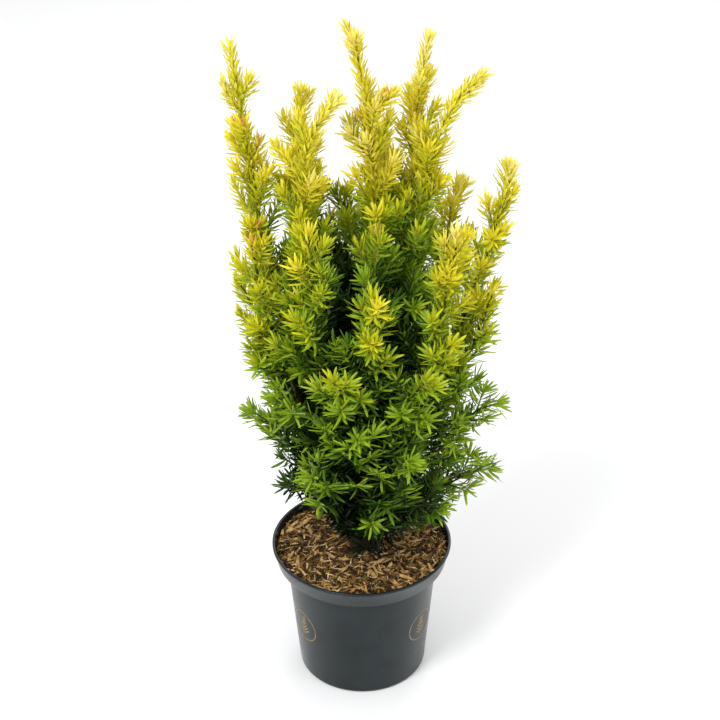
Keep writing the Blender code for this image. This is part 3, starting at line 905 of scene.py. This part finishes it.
class shootPath:  # a line through points, read by distance from its start
    def __init__(self, points):
        self.points = [Vector(point) for point in points]
        self.marks = [0.0]
        for a, b in zip(self.points, self.points[1:]):
            self.marks.append(self.marks[-1] + (b - a).length)
        self.length = self.marks[-1]

    def span(self, distance):
        index = 0
        while index < len(self.marks) - 2 and self.marks[index + 1] < distance:
            index += 1
        return index

    def at(self, distance):
        index = self.span(distance)
        step = self.marks[index + 1] - self.marks[index]
        return self.points[index].lerp(self.points[index + 1], (distance - self.marks[index]) / step)

    def along(self, distance):
        index = self.span(distance)
        return (self.points[index + 1] - self.points[index]).normalized()

    def part(self, start, end, step):
        count = max(2, round((end - start) / step) + 1)
        return shootPath([self.at(start + (end - start) * i / (count - 1)) for i in range(count)])


class shootLine:  # a bough, stem, twig or shoot, with its radius and the limb that it grows on
    def __init__(self, path, radiusAt, owner, buried=0.0, order=0):
        self.path = path
        self.radiusAt = radiusAt
        self.owner = owner
        self.buried = buried
        self.order = order  # 0 the trunk, a bough or a stem, 1 a twig, 2 a finer shoot
        marks = np.arange(buried, path.length, limbRule["lineSample"])
        self.samples = np.array([path.at(mark) for mark in marks])
        self.radii = np.array([radiusAt(mark) for mark in marks])

    def clearOf(self, other):
        gaps = np.linalg.norm(self.samples[:, None] - other.samples[None], axis=2)
        return (gaps - self.radii[:, None] - other.radii[None]).min()


def direction(heading, fromUpright):
    turn, lean = math.radians(heading), math.radians(fromUpright)
    return Vector((math.sin(lean) * math.cos(turn), math.sin(lean) * math.sin(turn), math.cos(lean)))


def trunkShare(height):
    return (height - trunkShape["foot"]) / (trunkShape["top"] - trunkShape["foot"])


def trunkCentre(height):
    t = trunkShape
    share = trunkShare(height)
    bow = t["bow"] * math.sin(math.pi * share) ** 2
    return Vector((t["lean"] * share * share - bow, bow, height))


def trunkRadius(height):
    t = trunkShape
    taper = (t["tipRadius"] - t["footRadius"]) * trunkShare(height) ** t["taperCurve"]
    return t["footRadius"] + taper + t["flare"] * math.exp(-(height - t["foot"]) / t["flareHeight"])


def tapering(length, endRadius, slope):
    return lambda mark: endRadius + slope * (length - mark)


def limbRadius(toTip):
    return tapering(toTip, limbRule["tipRadius"], limbRule["taper"])


def limbPath(limb):
    r = limbRule
    tipHeading = limb.heading if limb.leanHeading is None else limb.leanHeading
    tip = Vector((*(limb.reach * direction(limb.heading, 90)).xy, limb.height))
    tip -= direction(tipHeading, limb.lean) * r["tipNeedles"]
    start = trunkCentre(limb.fork or trunkShape["top"])
    length = (tip - start).length
    bend = tip - direction(tipHeading, limb.lean) * length * r["tipHandle"]
    if limb.fork is None:
        startDirection = (start - trunkCentre(trunkShape["top"] - trunkShape["sample"])).normalized()
    else:
        way = bend - start
        fromUpright = math.degrees(math.atan2(way.xy.length, way.z))
        startHeading = math.degrees(math.atan2(way.y, way.x))
        startDirection = direction(startHeading, min(fromUpright + r["startSpread"], r["mostStartSpread"]))
    handle = start + startDirection * length * r["startHandle"]
    return shootPath(geometry.interpolate_bezier(start, handle, bend, tip, round(length / r["pathStep"])))


def limbLines(limb):
    r = limbRule
    whole = limbPath(limb)
    if limb.fork is None:
        stem = whole.part(r["gap"], whole.length, r["pathStep"])
        return [shootLine(stem, limbRadius(whole.length), limb.name)]
    buried = trunkRadius(limb.fork) + r["gap"]
    if limb not in leaders:
        return [shootLine(whole, limbRadius(whole.length), limb.name, buried)]
    boughLength = whole.length * r["boughShare"]
    bough = whole.part(0.0, boughLength, r["boughStep"])
    stem = whole.part(boughLength + r["gap"], whole.length, r["pathStep"])
    return [
        shootLine(stem, limbRadius(stem.length), limb.name),
        shootLine(bough, limbRadius(whole.length), limb.name + "_bough", buried),
    ]


def twigPath(start, along, outward, length, splayDegrees):
    t = twigRule
    splay = math.radians(splayDegrees)
    heading = along * math.cos(splay) + outward * math.sin(splay)
    shares = [i / t["points"] for i in range(t["points"] + 1)]
    lift = Vector((0, 0, t["lift"] * length))
    return shootPath([start + heading * length * share + lift * share * share for share in shares])


def outwardAt(along, roll):
    level = along.cross(Vector(twigRule["levelGuide"])).normalized()
    return level * math.cos(roll) + along.cross(level) * math.sin(roll)


def growTwigs(limb, stem, lines):
    t = twigRule
    start = stem.buried + t["first"]
    end = stem.path.length * t["lastShare"]
    count = max(1, round((end - start) / t["spacing"]))
    longest = min(t["longest"], stem.path.length * t["share"])
    draw = random.Random(f"{t['seed']} {limb.name}")
    roll = draw.uniform(0, 360)
    others = [line for line in lines if line.owner != limb.name]
    for number in range(count):
        share = (number + draw.uniform(*t["places"])) / count
        mark = start + (end - start) * share
        length = longest * (1 - t["shortening"] * share) * draw.uniform(*t["lengths"])
        along = stem.path.along(mark)
        for attempt in range(t["tries"]):
            outward = outwardAt(along, math.radians(roll + attempt * t["turn"]))
            path = twigPath(stem.path.at(mark), along, outward, length, t["splay"])
            slope = (t["baseRadius"] - limbRule["tipRadius"]) / path.length
            radiusAt = tapering(path.length, limbRule["tipRadius"], slope)
            twig = shootLine(path, radiusAt, limb.name, stem.radiusAt(mark) + limbRule["lineSample"], 1)
            if all(twig.clearOf(line) > t["clearance"] for line in others):
                lines.append(twig)
                break
        roll += t["roll"]


def growShoots(parent, draw, first, spacing, longest, lines):  # finer shoots along a stem or a twig
    s = shootRule
    end = parent.path.length * s["lastShare"]
    count = int((end - first) / spacing)
    roll = draw.uniform(0, 360)
    for number in range(count):
        share = (number + draw.uniform(*s["places"])) / count
        mark = first + (end - first) * share
        length = max(s["shortest"], longest * (1 - s["shortening"] * share) * draw.uniform(*s["lengths"]))
        along = parent.path.along(mark)
        outward = outwardAt(along, math.radians(roll))
        roll += twigRule["roll"] + jitter(draw, s["rollJitter"])
        start = parent.path.at(mark)
        if start.z < s["fullerBelow"] and parent.order == 0:
            length *= s["fuller"].get(parent.owner, 1.0)
        towardsEnd = (start.z - s["sparseFrom"]) / (s["sparseTo"] - s["sparseFrom"])
        if draw.random() < between(0.0, s["sparseShare"], towardsEnd):
            continue
        splay = between(s["splay"], s["topSplay"], (start.z - s["topFrom"]) / (s["topTo"] - s["topFrom"]))
        path = twigPath(start, along, outward, length, splay + jitter(draw, s["splayJitter"]))
        if path.points[-1].z < soilShape["top"] + s["groundClearance"]:
            continue
        slope = (s["baseRadius"] - s["tipRadius"]) / path.length
        radiusAt = tapering(path.length, s["tipRadius"], slope)
        lines.append(shootLine(path, radiusAt, parent.owner, parent.radiusAt(mark), 2))


def growFoot(trunk, lines):  # short shoots round the trunk, down to the mulch, their needles darkened as painted shade
    f = footShoots
    draw = random.Random(f["seed"])
    for number in range(f["count"]):
        share = (number + draw.random()) / f["count"]
        mark = f["first"] + (f["last"] - f["first"]) * share ** f["crowding"]
        roll = math.radians(number * twigRule["roll"] + jitter(draw, f["rollJitter"]))
        outward = Vector((*onCircle(1.0, roll), 0.0))
        length = draw.uniform(f["shortest"], f["longest"])
        path = twigPath(trunk.at(mark), trunk.along(mark), outward, length, draw.uniform(*f["splay"]))
        radiusAt = tapering(path.length, shootRule["tipRadius"], f["thickening"] / path.length)
        lines.append(shootLine(path, radiusAt, "trunk", trunkRadius(trunkShape["foot"] + mark), 2))


def growPlant():
    t = trunkShape
    steps = round((t["top"] - t["foot"]) / t["sample"])
    trunk = shootPath([trunkCentre(t["foot"] + t["sample"] * step) for step in range(steps + 1)])
    lines = [shootLine(trunk, lambda mark: trunkRadius(t["foot"] + mark), "trunk")]
    for limb in limbs:
        lines += limbLines(limb)
    for limb in limbs:
        stem = next(line for line in lines if line.owner == limb.name)
        growTwigs(limb, stem, lines)
    names = {limb.name for limb in limbs}
    s = shootRule
    for parent in [line for line in lines if line.owner in names]:
        draw = random.Random(f"{s['seed']} {parent.owner} {parent.order} {parent.path.length:.5f}")
        if parent.order == 0:
            growShoots(parent, draw, parent.buried + s["first"], s["spacing"], s["longest"], lines)
        else:
            longest = parent.path.length * s["onTwigShare"]
            growShoots(parent, draw, parent.buried + s["onTwigFirst"], s["onTwigSpacing"], longest, lines)
    growFoot(trunk, lines)
    print("lines:", len(lines), "with", round(sum(line.path.length for line in lines), 2), "m in all")
    return lines


# Bark on the trunk, the boughs and the stems

barkLook = {
    "sides": 12,
    "sunk": 0.004,  # below the soil's top
    "trunkSteps": 60,
    "boughStep": 0.004,
    "intoMass": 0.006,  # how far a bough runs on under its foliage
    "voxel": 0.0009,
    "easeFactor": 0.5,
    "easeTimes": 4,
    "ridgeScale": 330.0,
    "ridgeStretch": 0.28,
    "ridgeLevel": 0.25,
    "ridgeDepth": 0.00055,
    "flakeScale": 120.0,
    "flakeDepth": 0.0004,
    "boughRelief": 0.45,
    "trunkRelief": 0.55,  # more, on the trunk's own axis
    "trunkReach": 0.02,
    "rootLobes": 5,
    "rootLobeTurn": 0.7,
    "rootLobeDepth": 0.07,
    "rootLobeReach": 0.014,
}
stemLook = {
    "woodyShare": 0.42,  # of a limb's stem. Its outer part is young, and green or golden
    "goldenFrom": 0.38,
    "kinds": {  # sides, dark and light colour
        "limbStems": (8, (0.035, 0.017, 0.008), (0.11, 0.055, 0.025)),
        "greenShoots": (4, (0.035, 0.055, 0.008), (0.085, 0.115, 0.015)),
        "goldenShoots": (4, (0.26, 0.25, 0.020), (0.42, 0.38, 0.040)),
    },
}


def tubeMesh(name, tubes, sides):  # tapering tubes with closed ends, all in one mesh
    curve = bpy.data.curves.new(name, "CURVE")
    curve.dimensions = "3D"
    curve.bevel_depth = 1.0
    curve.bevel_resolution = sides // 2 - 2
    curve.use_fill_caps = True
    for path, radiusAt in tubes:
        spline = curve.splines.new("POLY")
        spline.points.add(len(path.points) - 1)
        for spot, point, mark in zip(spline.points, path.points, path.marks):
            spot.co = (*point, 1)
            spot.radius = radiusAt(mark)
    item = addObject(name, curve)
    mesh = shapedMesh(item)
    bpy.data.objects.remove(item, do_unlink=True)
    return mended(mesh, merge=True)


def reddishBark(name, dark, light):
    material = newMaterial(name, dark, roughness=0.85, specular=0.25)
    mottle(material, dark, light, scale=150.0, stretch=(1.0, 1.0, 0.35), detail=5.0)
    roughen(material, scale=900.0, depth=0.0004, stretch=(1.0, 1.0, 0.3))
    return material


def barkTubes(lines):  # the trunk and the boughs, each a little longer than it shows
    b, t = barkLook, trunkShape
    bottom = t["foot"] - b["sunk"]
    height = t["top"] - t["foot"] + b["sunk"]
    trunk = shootPath([
        trunkCentre(bottom + height * i / b["trunkSteps"]) for i in range(b["trunkSteps"] + 1)
    ])
    tubes = [(trunk, lambda mark: trunkRadius(max(t["foot"], bottom + mark)))]
    for line in lines:
        if line.owner.endswith("_bough"):
            whole = limbPath(next(limb for limb in limbs if limb.name + "_bough" == line.owner))
            end = line.path.length + b["intoMass"]
            tubes.append((whole.part(0.0, end, b["boughStep"]), limbRadius(whole.length)))
    return tubes


def barkRelief(place):  # how far the bark stands out there
    b, t = barkLook, trunkShape
    stretched = Vector((place.x, place.y, place.z * b["ridgeStretch"]))
    ridges = abs(noise.noise(stretched * b["ridgeScale"])) - b["ridgeLevel"]
    flakes = noise.noise(place * b["flakeScale"])
    out = place - trunkCentre(min(t["top"], max(t["foot"], place.z)))
    onTrunk = max(0.0, 1 - out.xy.length / b["trunkReach"])
    relief = b["ridgeDepth"] * ridges + b["flakeDepth"] * flakes
    relief *= b["boughRelief"] + b["trunkRelief"] * onTrunk
    low = math.exp(-max(0.0, place.z - t["foot"]) / t["flareHeight"])
    lobes = math.cos(b["rootLobes"] * math.atan2(out.y, out.x) + b["rootLobeTurn"]) * b["rootLobeDepth"]
    return relief + lobes * low * min(out.xy.length, b["rootLobeReach"])


def makeBark(lines):
    b = barkLook
    piece = addObject("trunkAndBoughs", tubeMesh("trunkAndBoughs", barkTubes(lines), b["sides"]))
    fuse = piece.modifiers.new("fuse", "REMESH")
    fuse.mode = "VOXEL"
    fuse.voxel_size = b["voxel"]
    ease = piece.modifiers.new("ease", "SMOOTH")
    ease.factor = b["easeFactor"]
    ease.iterations = b["easeTimes"]
    piece.data = shapedMesh(piece)
    piece.modifiers.clear()
    mesh = piece.data
    lifted = [vert.co + vert.normal * barkRelief(vert.co) for vert in mesh.vertices]
    for vert, place in zip(mesh.vertices, lifted):
        vert.co = place
    mesh.shade_smooth()
    # painted shade: the trunk's and boughs' bark is darkened far below the yew's own reddish brown, for
    # the crown's shade
    coat(mesh, reddishBark("yewBark", (0.014, 0.008, 0.006), (0.070, 0.034, 0.022)))
    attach(piece, "root")
    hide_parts("trunk", *[line.owner for line in lines if line.owner.endswith("_bough")])
    print("bark:", len(mesh.polygons), "faces")


def youngKind(height):
    return "greenShoots" if height < stemLook["goldenFrom"] else "goldenShoots"


def fromMark(radiusAt, start):
    return lambda mark: radiusAt(mark + start)


def makeStems(lines):
    names = [limb.name for limb in limbs]
    tubes = {kind: [] for kind in stemLook["kinds"]}
    for line in lines:
        path = line.path
        if line.order:
            tubes[youngKind(path.points[0].z)].append((path, line.radiusAt))
        elif line.owner in names:
            turn = path.length * stemLook["woodyShare"]
            tubes["limbStems"].append((path.part(0.0, turn, limbRule["pathStep"]), line.radiusAt))
            outer = path.part(turn, path.length, limbRule["pathStep"])
            tubes[youngKind(path.at(turn).z)].append((outer, fromMark(line.radiusAt, turn)))
    for name, (sides, dark, light) in stemLook["kinds"].items():
        mesh = tubeMesh(name, tubes[name], sides)
        mesh.shade_smooth()
        piece = addObject(name, mesh, reddishBark(name + "Bark", dark, light))
        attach(piece, "root")
        if name == "limbStems":
            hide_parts(*names)
        print(name + ":", len(mesh.polygons), "faces")


# Needles

needleRule = {
    "lowHeight": 0.20,  # from here up, low sizes turn into top ones
    "topHeight": 0.62,
    "lowLength": 0.0215,
    "topLength": 0.0160,
    "lowWidth": 0.0028,
    "topWidth": 0.0023,
    "lowPitch": 0.00150,
    "topPitch": 0.00066,
    "splay": 64.0,
    "topSplay": 46.0,
    "lowTipSplay": 52.0,
    "tipSplay": 38.0,
    "tipCurve": 2.5,
    "rollJitter": 6,
    "splayJitter": 5,
    "pitchJitter": 0.3,
    "lengths": (0.85, 1.08),
    "widths": (0.88, 1.1),
    "twist": 16.0,
    "flatBelow": 0.28,  # a shoot below this spreads its needles into one plane
    "flatFade": 0.14,
    "flatten": 0.72,
    "turnOver": 0.65,  # how far a low shoot's needles turn their faces up
    "leastLean": 0.3,  # a more upright shoot has no upper side
    "stemStart": 0.08,  # of a limb's stem, which is bare
    "bareShare": 0.30,  # of a limb's stem, where old needles are thin
    "bareKept": 0.25,
    "stemShortening": 0.12,
    "shootLeast": 0.72,  # a shoot's needles are longest in its middle
    "shootSwell": 0.28,
    "shootPhase": 0.25,
    "tipCluster": 11,  # a shoot's tip is a blunt tuft
    "tuftSpread": 8.0,
    "tuftSplay": 10.0,
    "tuftCurve": 1.6,
    "tuftShortening": 0.25,
    "trims": 4,  # a needle that would hit something is shortened so often, or else left out
    "trimShare": 0.7,
    "boxMargin": 0.001,
    "potGap": 0.002,
    "potReach": 0.06,
    "soilGap": 0.003,
    "lengthFactor": 1.0,
    "widthFactor": 1.0,
    "seed": 5,
}
needleShape = {
    "stations": ((0.16, 0.62), (0.50, 1.0), (0.84, 0.70)),  # shares of its length and width
    "ridge": 0.20,
    "belly": 0.10,
    "kinds": ((0.9, 0.0), (0.3, 0.25), (1.5, -0.2)),  # curve along its length, and sway to a side
}
tintRule = {  # what a needle's shade value adds up to
    # painted shade: needles inside the crown and low at its foot get lower values and darker colours;
    # partly their older, darker green, partly shade
    "inside": 0.04,
    "outside": 0.25,
    "top": 0.48,
    "shadedTop": 0.5,
    "greenBelow": 0.18,
    "goldAbove": 0.54,
    "goldCurve": 1.5,
    "crownFoot": 0.075,  # how far out the crown reaches, low down and higher up
    "crownSide": 0.118,
    "crownFrom": 0.16,
    "crownOver": 0.14,
    "innerShare": 0.34,
    "outerShare": 0.42,
    "openFrom": 0.42,
    "openOver": 0.12,
    "footLight": 0.30,  # painted shade: the foot of the crown is darkened, with single bright shoots
    "footFrom": 0.17,
    "footOver": 0.12,
    "footReach": 0.072,
    "footFringe": 0.032,
    "footContrast": 2.6,
    "youngTip": 0.24,
    "youngReach": 0.014,
    "youngFade": 0.6,  # towards the crown's top
    "leaderTip": 0.17,
    "leaderReach": 0.020,
    "leaderLeast": 0.3,
    "leaderGain": 1.6,
    "lowLimit": 0.50,  # low shoots stay green, however young they are
    "highLimit": 1.25,
    "limitFrom": 0.35,
    "limitOver": 0.19,
    "shootTint": 0.085,
    # painted shade on the needles of the shoots round the trunk's foot
    "footPaintedShade": -0.16,
    "scatter": 0.04,
    "amberShare": 0.10,  # of the high shoots, which have an amber heart
    "amberAbove": 0.44,
}

shadeRow = namedtuple("shadeRow", "name dark light below slot")  # it takes the shade values below that

shades = [
    # the darkest needles are near black: partly old needles' dark green, partly painted shade inside the
    # crown and at its foot
    shadeRow("oldDarkNeedles", (0.004, 0.010, 0.002), (0.009, 0.020, 0.003), 0.15, "green_needles"),
    shadeRow("deepGreenNeedles", (0.026, 0.068, 0.006), (0.040, 0.095, 0.009), 0.27, "green_needles"),
    shadeRow("leafGreenNeedles", (0.090, 0.185, 0.008), (0.125, 0.235, 0.012), 0.39, "green_needles"),
    shadeRow("limeNeedles", (0.245, 0.375, 0.012), (0.320, 0.460, 0.024), 0.54, "green_needles"),
    shadeRow("yellowGreenNeedles", (0.390, 0.470, 0.012), (0.470, 0.530, 0.018), 0.66, "golden_needles"),
    shadeRow("yellowNeedles", (0.590, 0.580, 0.010), (0.670, 0.650, 0.020), 0.78, "golden_needles"),
    shadeRow("goldNeedles", (0.760, 0.680, 0.026), (0.830, 0.740, 0.055), 0.91, "golden_needles"),
    shadeRow("paleGoldNeedles", (0.870, 0.770, 0.140), (0.910, 0.830, 0.230), 2.0, "golden_needles"),
    shadeRow("amberNeedles", (0.700, 0.420, 0.055), (0.850, 0.580, 0.120), 9.0, "golden_needles"),
]


def crownRadius(height):  # how far out the crown reaches at this height
    t = tintRule
    return between(t["crownFoot"], t["crownSide"], (height - t["crownFrom"]) / t["crownOver"])


def shadeValue(tip, toTip, toLeaderTip, shootTint, draw):
    t = tintRule
    high = clamped((tip.z - t["greenBelow"]) / (t["goldAbove"] - t["greenBelow"])) ** t["goldCurve"]
    reach = math.hypot(tip.x, tip.y)
    out = clamped((reach / crownRadius(tip.z) - t["innerShare"]) / t["outerShare"])
    # painted shade: needles far inside the crown and low at its foot count as less exposed, and get darker
    # colours
    exposed = max(out, clamped((tip.z - t["openFrom"]) / t["openOver"]))
    clearOfFoot = max((tip.z - t["footFrom"]) / t["footOver"], (reach - t["footReach"]) / t["footFringe"])
    exposed *= between(t["footLight"], 1.0, clearOfFoot)
    shootTint *= between(t["footContrast"], 1.0, clearOfFoot)
    young = exposed * math.exp(-toTip / t["youngReach"])
    leading = exposed * math.exp(-toLeaderTip / t["leaderReach"])
    value = t["inside"] + t["outside"] * exposed + t["top"] * high * between(t["shadedTop"], 1.0, exposed)
    value += t["youngTip"] * (1 - t["youngFade"] * high) * young
    value += t["leaderTip"] * leading * between(t["leaderLeast"], 1.0, high * t["leaderGain"])
    limit = between(t["lowLimit"], t["highLimit"], (tip.z - t["limitFrom"]) / t["limitOver"])
    return min(value + shootTint, limit) + jitter(draw, t["scatter"])


def upTheCrown(height):
    return (height - needleRule["lowHeight"]) / (needleRule["topHeight"] - needleRule["lowHeight"])


def isClear(end):  # of the pot's wall and the soil, and inside the solids' box
    n = needleRule
    low, high = cadBox
    inPot = end.z < potShape["height"] + n["potGap"] and math.hypot(end.x, end.y) > n["potReach"]
    inSoil = end.z < soilShape["top"] + n["soilGap"]
    past = any(end[k] < low[k] + n["boxMargin"] or end[k] > high[k] - n["boxMargin"] for k in range(3))
    return not (inPot or inSoil or past)


def trimmed(root, heading, length):  # the length at which a needle is clear, or nothing
    for _ in range(needleRule["trims"]):
        if isClear(root + heading * length):
            return length
        length *= needleRule["trimShare"]
    return None


def needleTurn(heading, flat):  # Z along the needle, X across its face
    across = (flat - heading * flat.dot(heading)).normalized()
    return Matrix((across, heading.cross(across), heading)).transposed().to_quaternion()


def dressLine(line, leaderTip, draw, rows):  # adds the needles of one stem, twig or shoot
    n, t = needleRule, tintRule
    path = line.path
    tip = path.points[-1]
    pitch = between(n["lowPitch"], n["topPitch"], upTheCrown(tip.z))
    start = line.buried
    if line.order == 0:
        start += (path.length - line.buried) * n["stemStart"]
    count = int((path.length - start) / pitch) + n["tipCluster"]
    clusterAt = count - n["tipCluster"]
    tint = jitter(draw, t["shootTint"])
    # painted shade darkens the needles of the shoots round the trunk's foot
    tint += t["footPaintedShade"] if line.owner == "trunk" else 0.0
    roll = draw.uniform(0, 360)
    amber = tip.z > t["amberAbove"] and draw.random() < t["amberShare"]
    for i in range(count):
        roll += twigRule["roll"] + jitter(draw, n["rollJitter"])
        mark = min(path.length, start + i * pitch + jitter(draw, n["pitchJitter"]) * pitch)
        share = min(1.0, i / count)
        if line.order == 0 and share < n["bareShare"] and draw.random() > n["bareKept"] + share:
            continue
        root = path.at(max(start, mark))
        along = path.along(mark)
        outward = outwardAt(along, math.radians(roll))
        height = upTheCrown(root.z)
        lowness = 1 - clamped((root.z - n["flatBelow"]) / n["flatFade"])
        up = Vector((0, 0, 1)) - along * along.z
        leaning = line.order and up.length > n["leastLean"]
        if leaning:
            up.normalize()
            outward = (outward - up * outward.dot(up) * n["flatten"] * lowness).normalized()
        endSplay = between(n["lowTipSplay"], n["tipSplay"], height)
        splay = between(between(n["splay"], n["topSplay"], height), endSplay, share ** n["tipCurve"])
        length = between(n["lowLength"], n["topLength"], height) * draw.uniform(*n["lengths"])
        if i >= clusterAt:
            inTip = (i - clusterAt + 1) / n["tipCluster"]
            splay = between(splay + n["tuftSpread"], n["tuftSplay"], inTip ** n["tuftCurve"])
            length *= 1 - n["tuftShortening"] * inTip
        elif line.order == 0:
            length *= 1 - n["stemShortening"] * share
        else:
            swell = math.sin(math.pi * min(1.0, n["shootPhase"] + share))
            length *= n["shootLeast"] + n["shootSwell"] * swell
        splay = math.radians(splay + jitter(draw, n["splayJitter"]))
        heading = (along * math.cos(splay) + outward * math.sin(splay)).normalized()
        length = trimmed(root, heading, length)
        if length is None:
            continue
        end = root + heading * length
        width = between(n["lowWidth"], n["topWidth"], height) * draw.uniform(*n["widths"])
        value = shadeValue(end, path.length - mark, (end - leaderTip).length, tint, draw)
        shade = next(k for k, row in enumerate(shades) if value < row.below)
        if amber and i >= clusterAt + n["tipCluster"] // 2:
            shade = len(shades) - 1
        flat = along.cross(outward).normalized()
        if leaning:
            level = up.cross(heading).normalized()
            level *= 1 if level.dot(flat) > 0 else -1
            flat = flat.lerp(level, n["turnOver"] * lowness).normalized()
        twist = Quaternion(heading, math.radians(draw.gauss(0, n["twist"])))
        rows[shade].append((root, needleTurn(heading, twist @ flat), (width, width, length)))


def plantNeedles(lines):  # each needle's root, turn and size, by its shade
    names = {limb.name for limb in limbs}
    tips = {line.owner: line.path.points[-1] for line in lines if line.order == 0}
    rows = [[] for _ in shades]
    for number, line in enumerate(lines):
        if line.owner in names or (line.owner == "trunk" and line.order):
            dressLine(line, tips[line.owner], random.Random(f"{needleRule['seed']} {number}"), rows)
    return rows


def needleMesh(number, curve, sway):  # one needle of unit length along Z, flat across X, with a ridge
    n = needleShape
    verts = [(0.0, 0.0, 0.0)]
    for t, width in n["stations"]:
        bend = curve * t * t
        side = sway * math.sin(math.pi * t)
        half = width / 2
        verts += [(side - half, bend, t), (side, bend + n["ridge"] * width, t), (side + half, bend, t)]
        verts += [(side, bend - n["belly"] * width, t)]
    verts.append((0.0, curve, 1.0))
    tip = len(verts) - 1
    foot = [(0, 1 + (i + 1) % 4, 1 + i) for i in range(4)]
    head = [(tip - 4 + i, tip - 4 + (i + 1) % 4, tip) for i in range(4)]
    mesh = bpy.data.meshes.new(f"needle{number}")
    mesh.from_pydata(verts, [], foot + bandFaces(1, len(n["stations"]) - 1) + head)
    return mended(mesh, triangles=True)


def needleTree():
    tree, entry, result = newTree("needlesOnShoots", {
        "Shapes": "Collection",
        "Shape count": "Int",
        "Length factor": "Float",
        "Width factor": "Float",
        "Seed": "Int",
        "Finish": "Material",
    })
    attribute = "GeometryNodeInputNamedAttribute"
    turn = treeNode(tree, attribute, data_type="QUATERNION", values={"Name": "turn"})
    size = treeNode(tree, attribute, data_type="FLOAT_VECTOR", values={"Name": "size"})
    factors = treeNode(tree, "ShaderNodeCombineXYZ")
    scale = treeNode(tree, "ShaderNodeVectorMath", operation="MULTIPLY")
    last = treeNode(tree, "ShaderNodeMath", operation="SUBTRACT", values={1: 1.0})
    choose = treeNode(tree, "FunctionNodeRandomValue", data_type="INT", values={wholeLow: 0})
    place = copyShapes(tree, entry, result)
    wireUp(
        tree,
        (entry, "Geometry", place, "Points"),
        (entry, "Shape count", last, 0),
        (last, "Value", choose, wholeHigh),
        (entry, "Seed", choose, "Seed"),
        (choose, wholeOut, place, "Instance Index"),
        (entry, "Width factor", factors, "X"),
        (entry, "Width factor", factors, "Y"),
        (entry, "Length factor", factors, "Z"),
        (size, "Attribute", scale, 0),
        (factors, "Vector", scale, 1),
        (scale, "Vector", place, "Scale"),
        (turn, "Attribute", place, "Rotation"),
    )
    return tree


def rootPoints(name, rows):  # a point at each needle's root, with its turn and size
    mesh = bpy.data.meshes.new(name)
    mesh.from_pydata([root for root, _, _ in rows], [], [])
    turn = mesh.attributes.new("turn", "QUATERNION", "POINT")
    turn.data.foreach_set("value", [part for _, turned, _ in rows for part in turned])
    size = mesh.attributes.new("size", "FLOAT_VECTOR", "POINT")
    size.data.foreach_set("vector", [part for _, _, sizes in rows for part in sizes])
    return mesh


def makeNeedles(lines):
    rows = plantNeedles(lines)
    tree = needleTree()
    shapes = [needleMesh(i, curve, sway) for i, (curve, sway) in enumerate(needleShape["kinds"])]
    needles = hiddenCollection("needleShape", shapes)
    total = 0
    for number, shade in enumerate(shades):
        leaf = newMaterial(shade.name + "Leaf", shade.light, roughness=0.44, specular=0.27)
        mottle(leaf, shade.dark, shade.light, scale=90.0)
        varyRoughness(leaf, 0.36, 0.52, scale=200.0)
        piece = addObject(shade.name, rootPoints(shade.name, rows[number]))
        mesh = runTree(piece, tree, {
            "Shapes": needles,
            "Shape count": len(shapes),
            "Length factor": needleRule["lengthFactor"],
            "Width factor": needleRule["widthFactor"],
            "Seed": number,
            "Finish": leaf,
        })
        total += len(mesh.polygons)
        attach(piece, "root")
        print(shade.name + ":", len(rows[number]), "needles,", len(mesh.polygons), "faces")
    dropCollection(needles)
    print("needles in all:", sum(map(len, rows)), "with", total, "faces")


addCamera()
addStudio()
makePot()
makePotPrints()
makeSoil()
makeMulch()
lines = growPlant()
makeBark(lines)
makeStems(lines)
makeNeedles(lines)
